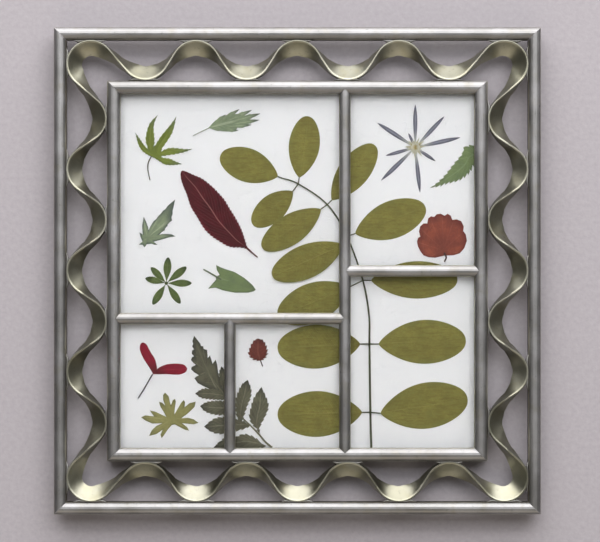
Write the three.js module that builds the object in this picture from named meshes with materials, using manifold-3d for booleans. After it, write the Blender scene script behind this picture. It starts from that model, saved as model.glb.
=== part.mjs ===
// A pressed flower frame: a small metal wall frame of half-round bars, with a folded metal ribbon winding
// between its outer square and its inner square, and pressed leaves lying on white paper behind glass.
// Millimetres. +Z is up and the front faces -Y. The origin is the centre of the frame's box.
import * as THREE from "three";
import { mergeVertices } from "three/addons/utils/BufferGeometryUtils.js";
import Module from "manifold-3d";

const wasm = await Module();
wasm.setup();

// Driving dimensions.
const OUTER_SIZE = 256;
const INNER_SIZE = 200;
const DEPTH = 15;
const OUTER_BAR_WIDTH = 6.5;
const INNER_BAR_WIDTH = 7;
const MUNTIN_WIDTH = 6;
const BAR_THICKNESS = 4;
const OUTER_BAR_THICKNESS = 8.5;
const BAR_CROWN = 2.7;
const MUNTIN_THICKNESS = 3.6;
const MUNTIN_CROWN = 2.3;
const POINT_DEPTH = 2.5;
const CROWN_STEPS = 10;
const RIM_THICKNESS = 1.5;
const RIBBON_SET_BACK = 1.5;
const RIBBON_DEPTH = 5;
const RIBBON_RIDGE = 1;
const RIBBON_SHEET = 0.8;
const RIBBON_SPREAD = 7.4;
const SPREAD_LOST_ON_SLOPES = 0.3;
const JOINT_GAP = 0.1;

// The ribbon's wave: its crests touch the outer bars and its troughs touch the inner bars.
const CREST_PITCH = OUTER_SIZE / 4.8;
const BEND_RADIUS = 12.45;
const DEGREES_PER_STEP = 23;
const WELD_HALF_LENGTH = 6;
const WELD_DEPTH = 2;

// Where the window bars stand, from the frame's centre.
const UPRIGHT_X = 25;
const LEFT_RAIL_Z = -25;
const RIGHT_RAIL_Z = 0;
const SHORT_UPRIGHT_X = -35.5;

// The stack behind the window bars, from front to back.
const GLASS_THICKNESS = 2;
// The pressed pieces were laid out on a sheet a little larger than this one.
const LAYOUT_SCALE = 0.987;
const PAPER_THICKNESS = 0.4;
const BOARD_THICKNESS = 3;
const LEAF_THICKNESS = 0.3;
const LAYER_STEP = 0.35;
const LAYERS = 3;
const STACK_GAP = 0.1;
const SHEET_CLEARANCE = 0.2;

// The back: tabs that hold the board in, and a strap with a hole that hangs on a nail.
const TAB_WIDTH = 14;
const TAB_LENGTH = 10;
const TAB_RISE = 2.6;
const TAB_THICKNESS = 1;
const STRAP_HEIGHT = 14;
const STRAP_THICKNESS = 1.5;
const STRAP_Z = 70;
const NAIL_HOLE_RADIUS = 3.5;

const FRONT_Y = -DEPTH / 2;
const BACK_Y = DEPTH / 2;
const BAR_BASE_Y = FRONT_Y + BAR_THICKNESS;
const OUTER_BAR_FACE = OUTER_SIZE / 2 - OUTER_BAR_WIDTH;
const RIM_FACE = INNER_SIZE / 2;
const RIM_INSIDE = RIM_FACE - RIM_THICKNESS;
const OPENING = RIM_FACE - INNER_BAR_WIDTH;
const SHEET_SIZE = 2 * (RIM_INSIDE - SHEET_CLEARANCE);
const GLASS_BACK_Y = BAR_BASE_Y + STACK_GAP + GLASS_THICKNESS;
const PAPER_FRONT_Y = GLASS_BACK_Y + LAYERS * LAYER_STEP + STACK_GAP;
const PAPER_BACK_Y = PAPER_FRONT_Y + PAPER_THICKNESS;
const BOARD_BACK_Y = PAPER_BACK_Y + STACK_GAP + BOARD_THICKNESS;

const material = (color, roughness, metalness = 0) =>
  new THREE.MeshStandardMaterial({ color, roughness, metalness });
const PEWTER = material(0x8d8b82, 0.38, 0.9);
const RIBBON_METAL = material(0x9a977f, 0.34, 0.9);
const RIM_METAL = material(0x6f6d66, 0.5, 0.85);
const GLASS = new THREE.MeshStandardMaterial({
  color: 0xf4f8f8,
  roughness: 0.05,
  transparent: true,
  opacity: 0.15,
});
const PAPER = material(0xf2f3f5, 0.95);
const BOARD = material(0x6b4e34, 0.85);
const OLIVE = material(0x75732f, 0.7);
const STALK = material(0x5a5a33, 0.7);
const GREEN = material(0x7d9a3a, 0.7);
const GREY_GREEN = material(0x86997a, 0.75);
const FRESH_GREEN = material(0x7f9f66, 0.7);
const WHORL_GREEN = material(0x5c7436, 0.7);
const DARK_RED = material(0x5b2a30, 0.7);
const BRICK_RED = material(0x9a4a3a, 0.7);
const CRIMSON = material(0xa01f38, 0.6);
const FERN_BROWN = material(0x5d5a4c, 0.75);
const YELLOW_OLIVE = material(0xa09a55, 0.7);
const SLATE_BLUE = material(0x75788a, 0.7);
const STRAW = material(0xc9bf8c, 0.8);

const root = new THREE.Group();
const specimens = new THREE.Group();
specimens.scale.set(LAYOUT_SCALE, 1, LAYOUT_SCALE);
root.add(specimens);

function addPiece(name, geometry, pieceMaterial, x = 0, z = 0, turn = 0, group = root) {
  const mesh = new THREE.Mesh(geometry, pieceMaterial);
  mesh.name = name;
  mesh.position.set(x, 0, z);
  mesh.rotation.y = -THREE.MathUtils.degToRad(turn);
  group.add(mesh);
}

const addSpecimen = (name, geometry, pieceMaterial, x, z, turn) =>
  addPiece(name, geometry, pieceMaterial, x, z, turn, specimens);

// Solids from geometries, and back.
function solid(geometry) {
  const bare = new THREE.BufferGeometry();
  bare.setAttribute("position", geometry.getAttribute("position"));
  if (geometry.index) bare.setIndex(geometry.index);
  const merged = mergeVertices(bare, 1e-4);
  return new wasm.Manifold(
    new wasm.Mesh({
      numProp: 3,
      vertProperties: new Float32Array(merged.attributes.position.array),
      triVerts: new Uint32Array(merged.index.array),
    }),
  );
}

function geometryOf(manifold) {
  const { vertProperties, triVerts } = manifold.getMesh();
  const geometry = new THREE.BufferGeometry();
  geometry.setAttribute("position", new THREE.BufferAttribute(vertProperties, 3));
  geometry.setIndex(new THREE.BufferAttribute(triVerts, 1));
  return geometry;
}

const fused = (geometries) =>
  geometryOf(geometries.map(solid).reduce((whole, next) => whole.add(next)));

// A flat plate of a front-view outline, with its back face at backY.
function plate(shape, backY, thickness) {
  const outline = shape instanceof THREE.Shape ? shape : new THREE.Shape(shape);
  const geometry = new THREE.ExtrudeGeometry(outline, {
    depth: thickness,
    bevelEnabled: false,
    curveSegments: 16,
  });
  return geometry.rotateX(Math.PI / 2).translate(0, backY, 0);
}

const point = (x, y) => new THREE.Vector2(x, y);
const rectangle = (width, height) => [
  point(-width / 2, -height / 2),
  point(width / 2, -height / 2),
  point(width / 2, height / 2),
  point(-width / 2, height / 2),
];

// Half-round bars on straight sides. A section is drawn with x across from one edge and y as in the frame.
function barSection(width, rise, shoulderY, baseY) {
  const section = [point(0, baseY)];
  for (let i = 0; i <= CROWN_STEPS; i += 1) {
    const angle = (Math.PI * i) / CROWN_STEPS;
    section.push(point((width / 2) * (1 - Math.cos(angle)), shoulderY - rise * Math.sin(angle)));
  }
  section.push(point(width, baseY));
  return section;
}

// A run of a section along X, with the section's first edge at z = edgeZ.
function runAlongX(section, length, edgeZ) {
  const run = new THREE.ExtrudeGeometry(new THREE.Shape(section), {
    depth: length,
    bevelEnabled: false,
  });
  return run.translate(0, 0, -length / 2).rotateY(Math.PI / 2).translate(0, 0, edgeZ);
}

const throughPlate = (outline) => solid(plate(outline, BACK_Y + 1, DEPTH + 2));

// The top piece of a square, cut to 45 degree ends, with V notches in its inner edge.
function mitredPiece(section, halfSize, notches = []) {
  const reach = halfSize + 1;
  const wedge = [point(0, JOINT_GAP), point(reach, reach + JOINT_GAP), point(-reach, reach + JOINT_GAP)];
  const run = solid(runAlongX(section, 2 * reach, halfSize)).intersect(throughPlate(wedge));
  return notches.reduce((piece, along) => piece.subtract(notch(along, OPENING, -1)), run);
}

// A V notch at a place along a bar, let in from the side where the other bar's point comes.
function notch(along, edge, side) {
  const depth = POINT_DEPTH + 2 * JOINT_GAP;
  const spread = ((depth + 1) * MUNTIN_WIDTH) / 2 / POINT_DEPTH;
  return throughPlate([
    point(along, edge - side * depth),
    point(along + spread, edge + side),
    point(along - spread, edge + side),
  ]);
}

// A window bar between two faces, with a point at each end that lets into the bar it meets.
function windowBar(length, notches) {
  const tip = length / 2 + POINT_DEPTH;
  const wide = MUNTIN_WIDTH / 2 + 1;
  const shoulder = tip - (2 * POINT_DEPTH * wide) / MUNTIN_WIDTH;
  const plan = [
    point(tip, 0),
    point(shoulder, wide),
    point(-shoulder, wide),
    point(-tip, 0),
    point(-shoulder, -wide),
    point(shoulder, -wide),
  ];
  const shoulderY = BAR_BASE_Y - MUNTIN_THICKNESS + MUNTIN_CROWN;
  const section = barSection(MUNTIN_WIDTH, MUNTIN_CROWN, shoulderY, BAR_BASE_Y);
  const run = solid(runAlongX(section, 2 * tip + 2, MUNTIN_WIDTH / 2)).intersect(throughPlate(plan));
  return notches.reduce(
    (bar, [along, side]) => bar.subtract(notch(along, (side * MUNTIN_WIDTH) / 2, side)),
    run,
  );
}

const SIDES = { top: 0, left: 90, bottom: 180, right: 270 };

function addSquare(prefix, pieceMaterial, geometryFor) {
  for (const [side, turn] of Object.entries(SIDES)) {
    addPiece(`${prefix}_${side}`, geometryFor(side), pieceMaterial, 0, 0, turn);
  }
}

const innerNotches = {
  top: [UPRIGHT_X],
  left: [LEFT_RAIL_Z],
  bottom: [-UPRIGHT_X, -SHORT_UPRIGHT_X],
  right: [-RIGHT_RAIL_Z],
};
const shoulder = FRONT_Y + BAR_CROWN;
const outerSection = barSection(OUTER_BAR_WIDTH, BAR_CROWN, shoulder, FRONT_Y + OUTER_BAR_THICKNESS);
const innerSection = barSection(INNER_BAR_WIDTH, BAR_CROWN, shoulder, BAR_BASE_Y);
const rimSection = [
  point(0, BAR_BASE_Y),
  point(RIM_THICKNESS, BAR_BASE_Y),
  point(RIM_THICKNESS, BACK_Y),
  point(0, BACK_Y),
];
addSquare("outer_bar", PEWTER, () => geometryOf(mitredPiece(outerSection, OUTER_SIZE / 2)));
addSquare("inner_bar", PEWTER, (side) =>
  geometryOf(mitredPiece(innerSection, INNER_SIZE / 2, innerNotches[side])),
);
addSquare("rim", RIM_METAL, () => geometryOf(mitredPiece(rimSection, RIM_FACE)));

// The window bars: two full ones, and two short ones that end at another window bar.
function addWindowBar(name, from, to, across, turn, notches = []) {
  const bar = geometryOf(windowBar(to - from, notches));
  const middle = (from + to) / 2;
  const [x, z] = turn ? [across, middle] : [middle, across];
  addPiece(name, bar, PEWTER, x, z, turn);
}

const halfMuntin = MUNTIN_WIDTH / 2;
addWindowBar("window_upright", -OPENING, OPENING, UPRIGHT_X, 90, [
  [LEFT_RAIL_Z, 1],
  [RIGHT_RAIL_Z, -1],
]);
const leftRailMiddle = (UPRIGHT_X - halfMuntin - OPENING) / 2;
addWindowBar("window_rail_left", -OPENING, UPRIGHT_X - halfMuntin, LEFT_RAIL_Z, 0, [
  [SHORT_UPRIGHT_X - leftRailMiddle, -1],
]);
addWindowBar("window_rail_right", UPRIGHT_X + halfMuntin, OPENING, RIGHT_RAIL_Z, 0);
addWindowBar("window_upright_short", -OPENING, LEFT_RAIL_Z - halfMuntin, SHORT_UPRIGHT_X, 90);

// The ribbon is a strip folded lengthwise, with its fold to the front and its two leaves spreading back.
// The fold's line runs round circles, over the top of each crest and under each trough, with straight
// stretches that touch one circle and the next. Spin is -1 over a crest and 1 under a trough.
const HALF_RIDGE = RIBBON_RIDGE / 2;
const CREST_LINE = OUTER_BAR_FACE - JOINT_GAP - HALF_RIDGE;
const TROUGH_LINE = RIM_FACE + JOINT_GAP + HALF_RIDGE;
const CORNER = 2 * CREST_PITCH;
const CORNER_RADIUS = CREST_LINE - CORNER;

function circlesOfTheTopRibbon() {
  const circles = [{ x: -CORNER, y: CORNER, radius: CORNER_RADIUS, spin: -1 }];
  for (let i = -3; i <= 3; i += 1) {
    const spin = i % 2 === 0 ? -1 : 1;
    const y = spin < 0 ? CREST_LINE - BEND_RADIUS : TROUGH_LINE + BEND_RADIUS;
    circles.push({ x: (i * CREST_PITCH) / 2, y, radius: BEND_RADIUS, spin });
  }
  circles.push({ x: CORNER, y: CORNER, radius: CORNER_RADIUS, spin: -1 });
  return circles;
}

function joinBetween(from, to) {
  const spread = from.spin * from.radius - to.spin * to.radius;
  const distance = Math.hypot(to.x - from.x, to.y - from.y);
  const straight = Math.sqrt(distance ** 2 - spread ** 2);
  const heading = Math.atan2(to.y - from.y, to.x - from.x) + Math.atan2(spread, straight);
  return { heading, straight };
}

// Stations along the fold. Lean is 1 where the leaf on the right is spread wide, over a crest, and -1
// where the leaf on the left is, under a trough. It passes 0 in the middle of each straight stretch.
function ribbonStations(circles) {
  const joins = circles.slice(1).map((circle, i) => joinBetween(circles[i], circle));
  const startHeading = Math.PI / 4 - JOINT_GAP / CORNER_RADIUS;
  const crestToMiddle = BEND_RADIUS * Math.abs(joins[3].heading) + joins[3].straight / 2;
  const stations = [];
  circles.forEach(({ x, y, radius, spin }, i) => {
    const before = joins[i - 1] ?? { heading: startHeading, straight: 2 * crestToMiddle };
    const after = joins[i] ?? { heading: -startHeading, straight: 2 * crestToMiddle };
    const sweep = after.heading - before.heading;
    const steps = Math.ceil(Math.abs(sweep) / THREE.MathUtils.degToRad(DEGREES_PER_STEP));
    for (let k = 0; k <= steps; k += 1) {
      const heading = before.heading + (sweep * k) / steps;
      const normal = point(-Math.sin(heading), Math.cos(heading));
      const done = (radius * Math.abs(sweep) * k) / steps;
      const left = radius * Math.abs(sweep) - done;
      const toMiddle = Math.min(done + before.straight / 2, left + after.straight / 2, crestToMiddle);
      const lean = -spin * Math.sin((Math.PI * toMiddle) / crestToMiddle / 2);
      stations.push({ at: point(x, y).addScaledVector(normal, -spin * radius), normal, lean });
    }
    if (joins[i]) {
      const last = stations[stations.length - 1];
      const ahead = point(last.normal.y, -last.normal.x);
      const at = last.at.clone().addScaledVector(ahead, after.straight / 2);
      stations.push({ at, normal: last.normal, lean: 0 });
    }
  });
  return stations;
}

// A section's points hold how far they lie to the left of the fold's line, and their y.
function foldedSection(lean) {
  const frontY = FRONT_Y + RIBBON_SET_BACK;
  const backY = frontY + RIBBON_DEPTH;
  const narrowing = 1 - SPREAD_LOST_ON_SLOPES * (1 - Math.abs(lean));
  const swing = (narrowing * (RIBBON_SPREAD - HALF_RIDGE)) / 2;
  const right = -(HALF_RIDGE + swing * (1 + lean));
  const left = HALF_RIDGE + swing * (1 - lean);
  const lip = (share) => RIBBON_SHEET * (1 + 0.3 * share);
  return [
    point(left, backY),
    point(HALF_RIDGE, frontY),
    point(-HALF_RIDGE, frontY),
    point(right, backY),
    point(right + lip(1 + lean), backY),
    point(-0.3 * lean, frontY + 1.5 * RIBBON_SHEET),
    point(left - lip(1 - lean), backY),
  ];
}

// A closed skin over sections of equal length, with a flat cap of the given outline at each end.
function loft(sections, capOutline) {
  const size = sections[0].length;
  const positions = sections.flat().flatMap((p) => [p.x, p.y, p.z]);
  const index = [];
  for (let i = 0; i + 1 < sections.length; i += 1) {
    for (let k = 0; k < size; k += 1) {
      const a = i * size + k;
      const b = i * size + ((k + 1) % size);
      index.push(a, b, a + size, b, b + size, a + size);
    }
  }
  const end = (sections.length - 1) * size;
  for (const [a, b, c] of THREE.ShapeUtils.triangulateShape(capOutline, [])) {
    index.push(a, b, c, end + a, end + c, end + b);
  }
  const geometry = new THREE.BufferGeometry();
  geometry.setAttribute("position", new THREE.Float32BufferAttribute(positions, 3));
  geometry.setIndex(index);
  return geometry;
}

function weldOutline({ x, y, radius, spin }) {
  const face = y - spin * (radius + HALF_RIDGE);
  const outline = [point(-WELD_HALF_LENGTH, 0)];
  for (const share of [-0.75, -0.4, 0, 0.4, 0.75]) {
    const along = share * WELD_HALF_LENGTH;
    const drop = radius + HALF_RIDGE - Math.sqrt(radius ** 2 - along ** 2);
    outline.push(point(along, -drop));
  }
  outline.push(point(WELD_HALF_LENGTH, 0));
  return outline.map((p) => point(x + p.x, face - spin * p.y));
}

function ribbonSide() {
  const circles = circlesOfTheTopRibbon();
  const stations = ribbonStations(circles);
  const sections = stations.map(({ at, normal, lean }) =>
    foldedSection(lean).map((p) => new THREE.Vector3(at.x + normal.x * p.x, p.y, at.y + normal.y * p.x)),
  );
  const welds = circles.map((circle) => plate(weldOutline(circle), BAR_BASE_Y - 2 * JOINT_GAP, WELD_DEPTH));
  return fused([loft(sections, foldedSection(stations[0].lean)), ...welds]);
}

addSquare("ribbon", RIBBON_METAL, ribbonSide);

// The sheets inside the rim.
const sheet = (backY, thickness) => plate(rectangle(SHEET_SIZE, SHEET_SIZE), backY, thickness);
addPiece("glass_pane", sheet(GLASS_BACK_Y, GLASS_THICKNESS), GLASS);
addPiece("paper_mount", sheet(PAPER_BACK_Y, PAPER_THICKNESS), PAPER);
addPiece("backing_board", sheet(BOARD_BACK_Y, BOARD_THICKNESS), BOARD);

const tabFrontY = BOARD_BACK_Y + STACK_GAP;
const tabSection = [
  point(0, tabFrontY),
  point(TAB_LENGTH, tabFrontY),
  point(TAB_LENGTH, tabFrontY + TAB_THICKNESS),
  point(TAB_THICKNESS, tabFrontY + TAB_THICKNESS),
  point(TAB_THICKNESS, tabFrontY + TAB_RISE),
  point(0, tabFrontY + TAB_RISE),
];
addSquare("board_tab", RIM_METAL, () => runAlongX(tabSection, TAB_WIDTH, RIM_INSIDE - JOINT_GAP));

const strap = new THREE.Shape(rectangle(2 * (RIM_INSIDE - JOINT_GAP), STRAP_HEIGHT));
strap.holes.push(new THREE.Path().absarc(0, 0, NAIL_HOLE_RADIUS, 0, 2 * Math.PI, true));
addPiece("hanging_strap", plate(strap, BACK_Y, STRAP_THICKNESS), RIM_METAL, 0, STRAP_Z);

// Leaf outlines. A blade starts at the origin and points along +X. Its half-width rises and falls as a
// power of a sine, which a small power makes round and a power of 1 makes pointed.
function bladeHalfWidth(share, { width, widest = 0.5, roundBase = 0.7, roundTip = 0.6 }) {
  const bend = Math.log(0.5) / Math.log(widest);
  const power = THREE.MathUtils.lerp(roundBase, roundTip, share);
  return (width / 2) * Math.max(0, Math.sin(Math.PI * share ** bend)) ** power;
}

function blade(form) {
  const { length, steps = 12, teeth = 0, toothDepth = 0, toothLean = 0.4 } = form;
  const halfWidth = (share, cut = 0) => Math.max(0.3, bladeHalfWidth(share, form) - cut);
  const count = teeth || steps;
  const edge = [];
  for (let i = 1; i < count; i += 1) {
    if (teeth) {
      const valley = (i - toothLean) / count;
      edge.push(point(valley * length, halfWidth(valley, toothDepth)));
      edge.push(point((i / count) * length, halfWidth(i / count)));
    } else {
      const share = (1 - Math.cos((Math.PI * i) / count)) / 2;
      edge.push(point(share * length, halfWidth(share)));
    }
  }
  const mirrored = edge.map((p) => point(p.x, -p.y)).reverse();
  const tip = [point(length, 0.1), point(length, -0.1)];
  return [point(-0.3, 0.2), ...edge, ...tip, ...mirrored, point(-0.3, -0.2)];
}

function placed(outline, x, y, degrees) {
  const centre = point(0, 0);
  const angle = THREE.MathUtils.degToRad(degrees);
  return outline.map((p) => p.clone().rotateAround(centre, angle).add(point(x, y)));
}

const disc = (radius, steps = 6) =>
  new THREE.Shape().absarc(0, 0, radius, 0, 2 * Math.PI).getPoints(steps).slice(0, -1);

// A stalk or vein: a smooth line through the points, tapering from one width to the other.
function strand(points, startWidth, endWidth, steps = 8) {
  const curve = new THREE.SplineCurve(points.map(([x, y]) => point(x, y)));
  const left = [];
  const right = [];
  for (let i = 0; i <= steps; i += 1) {
    const t = i / steps;
    const tangent = curve.getTangent(t);
    const half = THREE.MathUtils.lerp(startWidth, endWidth, t) / 2;
    const side = point(-tangent.y, tangent.x).multiplyScalar(half);
    left.push(curve.getPoint(t).add(side));
    right.push(curve.getPoint(t).sub(side));
  }
  return [...right, ...left.reverse()];
}

// Leaf plates lie on the paper, or over another leaf by whole layers.
const leafBack = (layer) => PAPER_FRONT_Y - 0.05 - layer * LAYER_STEP;
const leafPlate = (outline, layer = 0, thickness = LEAF_THICKNESS) =>
  plate(outline, leafBack(layer), thickness);
const leafOf = (outlines) => fused(outlines.map((outline) => leafPlate(outline)));

// The long pinnate leaf: one stalk with its twigs, and a leaflet at the end of each twig.
const LEAFLETS = [
  { base: [-10.5, 50.5], tip: [-41, 62], width: 18 },
  { base: [1, 50], tip: [6.5, 82.5], width: 16.5 },
  { base: [-2.5, 42.5], tip: [-24, 25], width: 14.5 },
  { base: [18.5, 38], tip: [41, 67.5], width: 16.5 },
  { base: [12.5, 33], tip: [-18.5, 12], width: 16, layer: 1 },
  { base: [31, 20], tip: [68.5, 34], width: 20 },
  { base: [24.5, 14], tip: [-13, -3.5], width: 18, layer: 2 },
  { base: [39.5, -5], tip: [85.5, -4.5], width: 20 },
  { base: [28, -8.5], tip: [-10, -25], width: 21 },
  { base: [43.5, -39], tip: [90, -36.5], width: 23.5 },
  { base: [33.5, -39], tip: [-10.5, -42], width: 23.5 },
  { base: [44.5, -76], tip: [91, -68.5], width: 24.5 },
  { base: [34.5, -75.5], tip: [-10.5, -77.5], width: 24.5 },
];
const STALK_LINE = [
  [39.5, -95],
  [39, -75.5],
  [38.5, -39],
  [38.3, -24],
  [35, -5],
  [26.5, 18.5],
  [16, 35.5],
  [0.5, 46.5],
  [-9.5, 50],
];
const TWIG_FEET = [null, 7, 7, 6, 6, 5, 5, 4, 4, 2, 2, 1, 1];
const STALK_THICKNESS = 0.8;

function leafletPlate({ base, tip, width, layer = 0 }) {
  const run = point(tip[0] - base[0], tip[1] - base[1]);
  const outline = blade({ length: run.length(), width, widest: 0.53, roundBase: 0.65, roundTip: 0.48 });
  const angle = THREE.MathUtils.radToDeg(run.angle());
  return leafPlate(placed(outline, base[0], base[1], angle), layer);
}

function pinnateStalk() {
  const outlines = [strand(STALK_LINE, 1.3, 0.6, 18)];
  LEAFLETS.forEach(({ base }, i) => {
    const foot = TWIG_FEET[i];
    if (foot === null) return;
    const start = point(...STALK_LINE[foot]);
    const end = point(...base);
    const near = end.clone().lerp(start, 0.5 / end.distanceTo(start));
    outlines.push(strand([start.toArray(), near.toArray()], 0.8, 0.6, 1));
  });
  return fused(outlines.map((outline) => leafPlate(outline, 0, STALK_THICKNESS)));
}

addSpecimen("pinnate_stalk", pinnateStalk(), STALK);
LEAFLETS.forEach((leaflet, i) => {
  addSpecimen(`leaflet_${String(i + 1).padStart(2, "0")}`, leafletPlate(leaflet), OLIVE);
});

// Small leaves, each drawn about its own foot and then placed on the paper.
// Each lobe is [angle, length, width].
function lobedLeaf(lobes, form, extras = []) {
  const blades = lobes.map(([angle, length, width]) =>
    placed(blade({ ...form, length, width }), 0, 0, angle),
  );
  return leafOf([...blades, ...extras]);
}

const mapleLobes = [
  [124, 15.5, 5.2],
  [82, 22, 6.2],
  [58.5, 24.5, 6.4],
  [11, 22, 5.4],
  [-14, 15.5, 4.8],
];
const mapleForm = { widest: 0.42, roundBase: 0.9, roundTip: 1.3, teeth: 5, toothDepth: 0.5 };
const mapleWeb = placed(disc(4.6, 10), 1.6, 3, 0);
const mapleStalk = strand([[0.3, 0.5], [-1.6, -5.5], [-0.5, -12]], 0.7, 0.5, 4);
addSpecimen("maple_leaf", lobedLeaf(mapleLobes, mapleForm, [mapleWeb, mapleStalk]), GREEN, -78, 61);

// The grey-green leaf: a slim blade with pairs of finger lobes that point forward along it.
function fingeredLeaf() {
  const outlines = [blade({ length: 29, width: 5.4, widest: 0.5, roundBase: 0.9, roundTip: 1.1, steps: 8 })];
  for (let pair = 0; pair < 5; pair += 1) {
    for (const side of [-1, 1]) {
      const finger = blade({ length: 11 - 1.2 * pair, width: 2.6, widest: 0.6, steps: 5 });
      outlines.push(placed(finger, 5 + 4.2 * pair, 0, side * 30));
    }
  }
  outlines.push(strand([[1, 0], [-4, -1.4], [-9, -2]], 0.5, 0.35, 4));
  return leafOf(outlines);
}

addSpecimen("grey_green_leaf", fingeredLeaf(), GREY_GREEN, -47.5, 76.5, 15);

const forkedLobes = [
  [53, 27, 6.5],
  [89, 13, 3.5],
  [10, 16.8, 3.6],
  [121, 5.5, 2],
  [-14, 7.7, 2.2],
];
const forkedForm = { widest: 0.55, roundBase: 0.8, roundTip: 1.1, teeth: 5, toothDepth: 0.35 };
const forkedFoot = strand([[0.8, 0.8], [-0.4, -1], [-1, -2.5]], 2.6, 1, 2);
addSpecimen("forked_leaf", lobedLeaf(forkedLobes, forkedForm, [forkedFoot]), GREY_GREEN, -80.8, 15.7);

const whorlLobes = [
  [86, 13.8, 4.2],
  [39, 13.8, 4],
  [0, 13.5, 3.8],
  [-55.5, 13.2, 3.8],
  [-122.5, 13.5, 4],
  [167, 11.5, 3.6],
  [134, 11.7, 3.6],
];
const whorlForm = { widest: 0.62, roundBase: 1.1, roundTip: 0.6, steps: 8 };
addSpecimen("whorl_leaf", lobedLeaf(whorlLobes, whorlForm, [disc(0.8)]), WHORL_GREEN, -70, -6.5);

const arrowheadOutline = [
  [0, 0],
  [-0.5, 7],
  [4.5, 4.6],
  [10, 2.6],
  [16, -0.6],
  [20, -3.6],
  [21.8, -6.2],
  [20.5, -7.6],
  [15, -8],
  [8, -7.4],
  [3, -6],
  [-4.5, -6],
  [-1.6, -2.5],
].map(([x, y]) => point(x, y));
const arrowheadStalk = strand([[1, -0.8], [-3, 2], [-6.5, 4.8]], 0.8, 0.6, 4);
const arrowhead = leafOf([arrowheadOutline.reverse(), arrowheadStalk]);
addSpecimen("arrowhead_leaf", arrowhead, FRESH_GREEN, -43.5, -3.5);

const longLeafForm = { widest: 0.44, roundBase: 0.8, roundTip: 0.95, teeth: 18, toothDepth: 0.4 };
const longLeaf = { ...longLeafForm, length: 54.4, width: 17.2 };
const longLeafStalk = strand([[2, 0], [-6.4, -0.4]], 1, 0.7, 2);
addSpecimen("long_red_leaf", leafOf([blade(longLeaf), longLeafStalk]), DARK_RED, -26, 12, 130.7);

// The star flower: narrow bracts round a head of small florets.
const bracts = [
  [90, 22.5, 2.2],
  [47, 22.3, 2.2],
  [12.5, 24.2, 2.3],
  [-34, 12.6, 1.7],
  [-84, 23.8, 2.2],
  [-136, 25, 2.3],
  [-164.5, 16, 1.8],
  [147, 23.6, 2.3],
  [115.5, 8, 1.4],
];
const bractForm = { widest: 0.6, roundBase: 0.5, roundTip: 0.9, steps: 4 };
addSpecimen("star_flower_bracts", lobedLeaf(bracts, bractForm), SLATE_BLUE, 63, 66);

function flowerHead() {
  const florets = [];
  for (let i = 0; i < 9; i += 1) {
    florets.push(placed(blade({ length: 4.4 + 1.2 * (i % 3), width: 1, steps: 3 }), 0, 0, i * 40));
  }
  return fused([
    ...florets.map((outline) => leafPlate(outline, 1)),
    leafPlate(disc(2.2), 1, 2 * LEAF_THICKNESS),
  ]);
}

addSpecimen("star_flower_head", flowerHead(), STRAW, 63, 66);

const sawForm = { widest: 0.42, roundBase: 0.8, roundTip: 0.95, teeth: 12, toothDepth: 0.9, toothLean: 0.3 };
const sawBlade = placed(blade({ ...sawForm, length: 33, width: 10.5 }), 0, 0, 216);
addSpecimen("saw_edged_leaf", leafPlate(sawBlade), FRESH_GREEN, 97, 63.5);

// The scalloped leaf: a ring of round lobes on a broad, flat-footed blade.
function scallopedOutline() {
  const lobes = 9;
  const outline = [];
  const stepsPerLobe = 5;
  const total = lobes * stepsPerLobe;
  for (let i = 0; i <= total; i += 1) {
    const angle = THREE.MathUtils.degToRad(-52 + (284 * i) / total);
    const scallop = Math.abs(Math.sin((Math.PI * i) / stepsPerLobe));
    const radius = 12.1 + 1.3 * scallop ** 0.5;
    outline.push(point(radius * Math.cos(angle), radius * Math.sin(angle)));
  }
  return outline;
}

const scallopStalk = strand([[2.2, -8], [2.4, -10.5], [1.7, -13.6]], 1, 0.7, 3);
addSpecimen("scalloped_red_leaf", leafOf([scallopedOutline(), scallopStalk]), BRICK_RED, 77, 18.5);

const wings = [
  [114, 17.8, 5.3],
  [10, 17.4, 5],
];
const wingForm = { widest: 0.6, roundBase: 0.6, roundTip: 0.5, steps: 11 };
const seedStalk = strand([[0, 0.4], [-9.2, -13.4]], 0.8, 0.5, 2);
addSpecimen("winged_seed", lobedLeaf(wings, wingForm, [seedStalk]), CRIMSON, -76, -54.5);

const oliveLobes = [
  [103, 16.3, 3.2],
  [122, 12.9, 2],
  [85, 12.3, 2.2],
  [62, 13.1, 2.3],
  [41, 16.5, 3.2],
  [0, 13.8, 3.2],
  [-26, 9.8, 2],
  [-125, 10.2, 2.2],
  [-150, 14, 2.8],
  [170.5, 16.6, 3.2],
  [151.5, 13.3, 2.2],
];
const oliveForm = { widest: 0.72, roundBase: 0.7, roundTip: 0.6, steps: 5 };
addSpecimen("lobed_olive_leaf", lobedLeaf(oliveLobes, oliveForm), YELLOW_OLIVE, -67, -80.5);

// The fern-like leaf: a bent stalk with saw-edged leaflets, which run together towards the tip.
const FERN_LINE = [
  [-13.5, -94],
  [-19.5, -90.5],
  [-29, -81.5],
  [-35, -72.5],
  [-40, -64.5],
  [-47.5, -55],
  [-52, -45.5],
  [-54.5, -35.5],
];
// Each leaflet is [foot x, foot z, angle, length, width].
const FERN_LEAFLETS = [
  [-20, -91, 184, 25, 7.5],
  [-20, -89.5, 84, 27, 9.6],
  [-28, -82.5, 182, 21.5, 7],
  [-28.5, -80.5, 81, 22, 7.2],
  [-34.5, -73.5, 177, 17.5, 6.4],
  [-38.5, -66.5, 175, 16.5, 6],
  [-38, -67, 73, 16, 5.6],
  [-43.5, -60.2, 161, 11.5, 5],
  [-43.5, -60, 72, 13, 4.8],
  [-47.5, -54.5, 148, 8.5, 4.4],
  [-47.8, -55, 73, 11, 4.6],
];

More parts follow.
